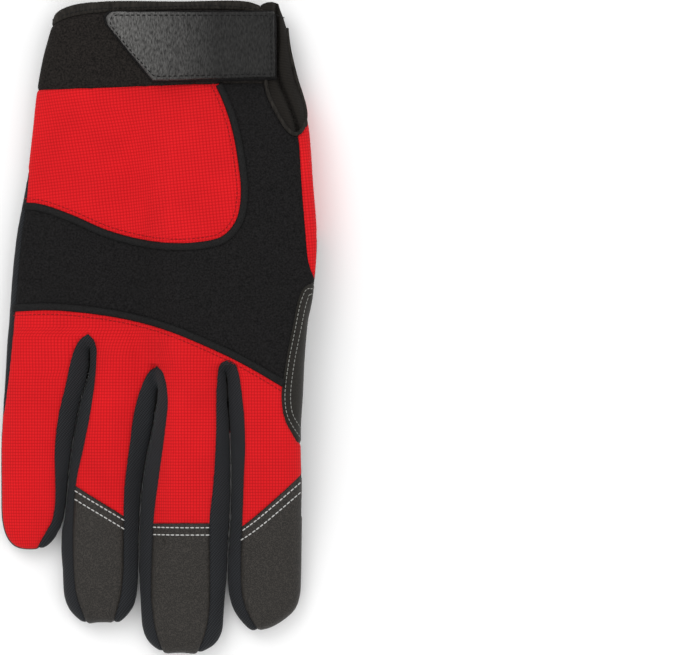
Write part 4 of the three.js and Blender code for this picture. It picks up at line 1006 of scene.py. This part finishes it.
for name, outline in (("heel_pad", heel_outline), ("knuckle_pad", knuckle_outline)):
    spots, part, facing = patch_on(outline, False)
    away = border_distance(spots, part, 4)
    for channel in channels[name]:
        gone = np.min(np.linalg.norm(spots[:, None, :2] - channel[None], axis=2), axis=1)
        away = np.minimum(away, 0.45 + gone)
    depth = crown * np.clip(away / crown_reach, 0, 1) ** 0.5
    for row in (1.3, 3.1):
        depth -= row_depth * np.exp(-((away - row) / row_half) ** 2)
    lower = spots.copy()
    lower[:, 2] = np.maximum(underside(spots[:, 0], spots[:, 1]) - depth - 0.05, 0.0)
    pad = piece(name + "_leather", *shell(lower, part, facing, 1.2), pad_leather, name)
    pad_faces[name] = (outline, BVHTree.FromPolygons(lower.tolist(), part.tolist()))

# Stitches
# Each seam line carries a row of short threads, set along it by a node group and then made plain mesh.
thread_mesh = bpy.data.meshes.new("stitch")
ring, rows = 6, [(-0.5, 0.25), (-0.42, 0.75), (-0.2, 1.0), (0.2, 1.0), (0.42, 0.75), (0.5, 0.25)]
stitch_corners = [(along, r * 0.5 * math.cos(k * math.tau / ring), r * 0.5 * math.sin(k * math.tau / ring))
                  for along, r in rows for k in range(ring)]
stitch_faces = [(a * ring + k, a * ring + (k + 1) % ring, (a + 1) * ring + (k + 1) % ring,
                 (a + 1) * ring + k)
                for a in range(len(rows) - 1) for k in range(ring)]
stitch_faces += [tuple(range(ring)), tuple(range((len(rows) - 1) * ring, len(rows) * ring))[::-1]]
thread_mesh.from_pydata(stitch_corners, [], [face[::-1] for face in stitch_faces])
thread_mesh.polygons.foreach_set("use_smooth", np.ones(len(thread_mesh.polygons), bool))
stitch = bpy.data.objects.new("stitch", thread_mesh)

group = bpy.data.node_groups.new("stitch_row", "GeometryNodeTree")
group.interface.new_socket("Geometry", in_out="INPUT", socket_type="NodeSocketGeometry")
sockets = {}
for label_text, kind, value in (("Pitch", "NodeSocketFloat", 0.0018), ("Length", "NodeSocketFloat", 0.0014),
                                ("Width", "NodeSocketFloat", 0.0005),
                                ("Thread", "NodeSocketMaterial", None),
                                ("Stitch", "NodeSocketObject", None)):
    socket = group.interface.new_socket(label_text, in_out="INPUT", socket_type=kind)
    if value is not None:
        socket.default_value = value
    sockets[label_text] = socket.identifier
group.interface.new_socket("Geometry", in_out="OUTPUT", socket_type="NodeSocketGeometry")
nodes = group.nodes
source = nodes.new("NodeGroupInput")
sink = nodes.new("NodeGroupOutput")
to_curve = nodes.new("GeometryNodeMeshToCurve")
resample = nodes.new("GeometryNodeResampleCurve")
resample.mode = "LENGTH"
tangent = nodes.new("GeometryNodeInputTangent")
facing_node = nodes.new("GeometryNodeInputNamedAttribute")
facing_node.data_type = "FLOAT_VECTOR"
facing_node.inputs["Name"].default_value = "facing"
along_x = nodes.new("FunctionNodeAlignRotationToVector")
along_x.axis = "X"
turn_up = nodes.new("FunctionNodeAlignRotationToVector")
turn_up.axis = "Z"
turn_up.pivot_axis = "X"
info = nodes.new("GeometryNodeObjectInfo")
instances = nodes.new("GeometryNodeInstanceOnPoints")
scale = nodes.new("ShaderNodeCombineXYZ")
realize = nodes.new("GeometryNodeRealizeInstances")
paint = nodes.new("GeometryNodeSetMaterial")
for giver, out, taker, into in (
    (source, "Geometry", to_curve, "Mesh"), (to_curve, "Curve", resample, "Curve"),
    (source, "Pitch", resample, "Length"), (tangent, "Tangent", along_x, "Vector"),
    (along_x, "Rotation", turn_up, "Rotation"), (facing_node, "Attribute", turn_up, "Vector"),
    (source, "Stitch", info, "Object"), (resample, "Curve", instances, "Points"),
    (info, "Geometry", instances, "Instance"), (turn_up, "Rotation", instances, "Rotation"),
    (source, "Length", scale, "X"), (source, "Width", scale, "Y"), (source, "Width", scale, "Z"),
    (scale, "Vector", instances, "Scale"), (instances, "Instances", realize, "Geometry"),
    (realize, "Geometry", paint, "Geometry"), (source, "Thread", paint, "Material"),
    (paint, "Geometry", sink, "Geometry")):
    group.links.new(giver.outputs[out], taker.inputs[into])


def beside(line, distance):
    run = np.gradient(line, axis=0)
    run /= np.linalg.norm(run, axis=1)[:, None]
    return line + np.column_stack([-run[:, 1], run[:, 0]]) * distance


def sewn(name, lines, look, height, above=True, tree=skin_tree, pitch=1.85, long=1.5, wide=0.5):
    """One piece with all the stitches of some lines in plan."""
    corners, edges, facings = [], [], []
    for line in lines:
        path, facing = laid(line, height, above, tree)
        start = len(corners)
        corners += (path / 1000).tolist()
        facings += facing.tolist()
        edges += [(start + k, start + k + 1) for k in range(len(path) - 1)]
    mesh = bpy.data.meshes.new(name)
    mesh.from_pydata(corners, edges, [])
    mesh.attributes.new("facing", "FLOAT_VECTOR", "POINT").data.foreach_set("vector",
                                                                            np.array(facings).ravel())
    rows = bpy.data.objects.new(name + "_rows", mesh)
    bpy.context.scene.collection.objects.link(rows)
    modifier = rows.modifiers.new("stitches", "NODES")
    modifier.node_group = group
    modifier[sockets["Pitch"]] = pitch / 1000
    modifier[sockets["Length"]] = long / 1000
    modifier[sockets["Width"]] = wide / 1000
    modifier[sockets["Thread"]] = look
    modifier[sockets["Stitch"]] = stitch
    plain = bpy.data.meshes.new_from_object(rows.evaluated_get(bpy.context.evaluated_depsgraph_get()))
    bpy.data.objects.remove(rows)
    for corner in plain.vertices:
        corner.co.z = max(corner.co.z, 0.00001)
    made = bpy.data.objects.new(name, plain)
    bpy.context.scene.collection.objects.link(made)
    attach(made, "root")
    return made


def even(line, step=0.8):
    gone = np.concatenate([[0], np.cumsum(np.linalg.norm(np.diff(line, axis=0), axis=1))])
    places = np.linspace(0, gone[-1], max(int(gone[-1] / step), 2))
    return np.column_stack([np.interp(places, gone, line[:, 0]), np.interp(places, gone, line[:, 1])])


cap_rows = []
for name, cap in caps.items():
    for distance in (1.4, 4.2):
        row = beside(even(cap["back"]), -distance)
        cap_rows.append(row[(within(row, cap_outline(name, "over")) > 0.5) & (row[:, 0] < 53.6)])
sewn("cap_stitches", cap_rows, thread, 0.3)
patch_line = curve([
    (0.484, 0.437), (0.465, 0.437), (0.446, 0.454), (0.424, 0.503), (0.402, 0.559), (0.392, 0.608),
    (0.4, 0.636), (0.42, 0.655), (0.438, 0.668)])
sewn("patch_stitches", [beside(patch_line, 0.9), beside(patch_line, 3.0)], grey_thread, 0.05,
     pitch=1.6, long=1.2, wide=0.36)
sewn("panel_stitches", [beside(upper_run, 2.9), beside(lower_run, -2.9)],
     red_thread, 0.02, pitch=1.7, long=1.2, wide=0.35)
hem = even(rim_hem)
sewn("rim_stitches", [beside(hem, 1.3)], black_thread, 0.3, pitch=1.9, long=1.3, wide=0.4)

strap_row = even(np.vstack([
    curve([(-0.115, 0.0215), (-0.139, 0.022), (-0.151, 0.028), (-0.149, 0.037)]),
    shares((-0.086, 0.076), (-0.013, 0.1155), (0.358, 0.1115), (0.356, 0.068), (0.352, 0.0215),
           (-0.115, 0.0215))]), 0.6)
sewn("strap_stitches", [strap_row], black_thread, 0.0, tree=strap_top, pitch=2.1, long=1.3)

palm_rows = []
for name in ("middle", "ring", "index"):
    for distance in (1.4, 3.7):
        row = beside(even(caps[name]["front"]), -distance)
        palm_rows.append(row[(within(row, cap_outline(name, "under")) > 0.5) & (row[:, 0] < 52.5)])
for share in (0.512, 0.522):
    palm_rows.append(even(shares((0.072, share), (0.118, share))))
sewn("palm_cap_stitches", palm_rows, thread, 0.1, above=False, wide=0.42)
palm_patch = [beside(patch_line, distance) for distance in (0.9, 3.0)]
sewn("palm_patch_stitches", [row[row[:, 1] < -6] for row in palm_patch],
     grey_thread, 0.05, above=False,
     pitch=1.6, long=1.25, wide=0.4)
for name, (outline, tree) in pad_faces.items():
    rows = [beside(np.vstack([outline, outline[:1]]), turned * distance) for distance in (1.2, 3.1)
            for turned in (1, -1)]
    rows = [row for row in rows if within(row, outline).min() > 0.3]
    rows += [even(channel)[2:-2] for channel in channels[name]]
    sewn(name + "_stitches", rows, black_thread, 0.05, above=False, tree=tree, pitch=1.9,
         long=1.3,
         wide=0.4)
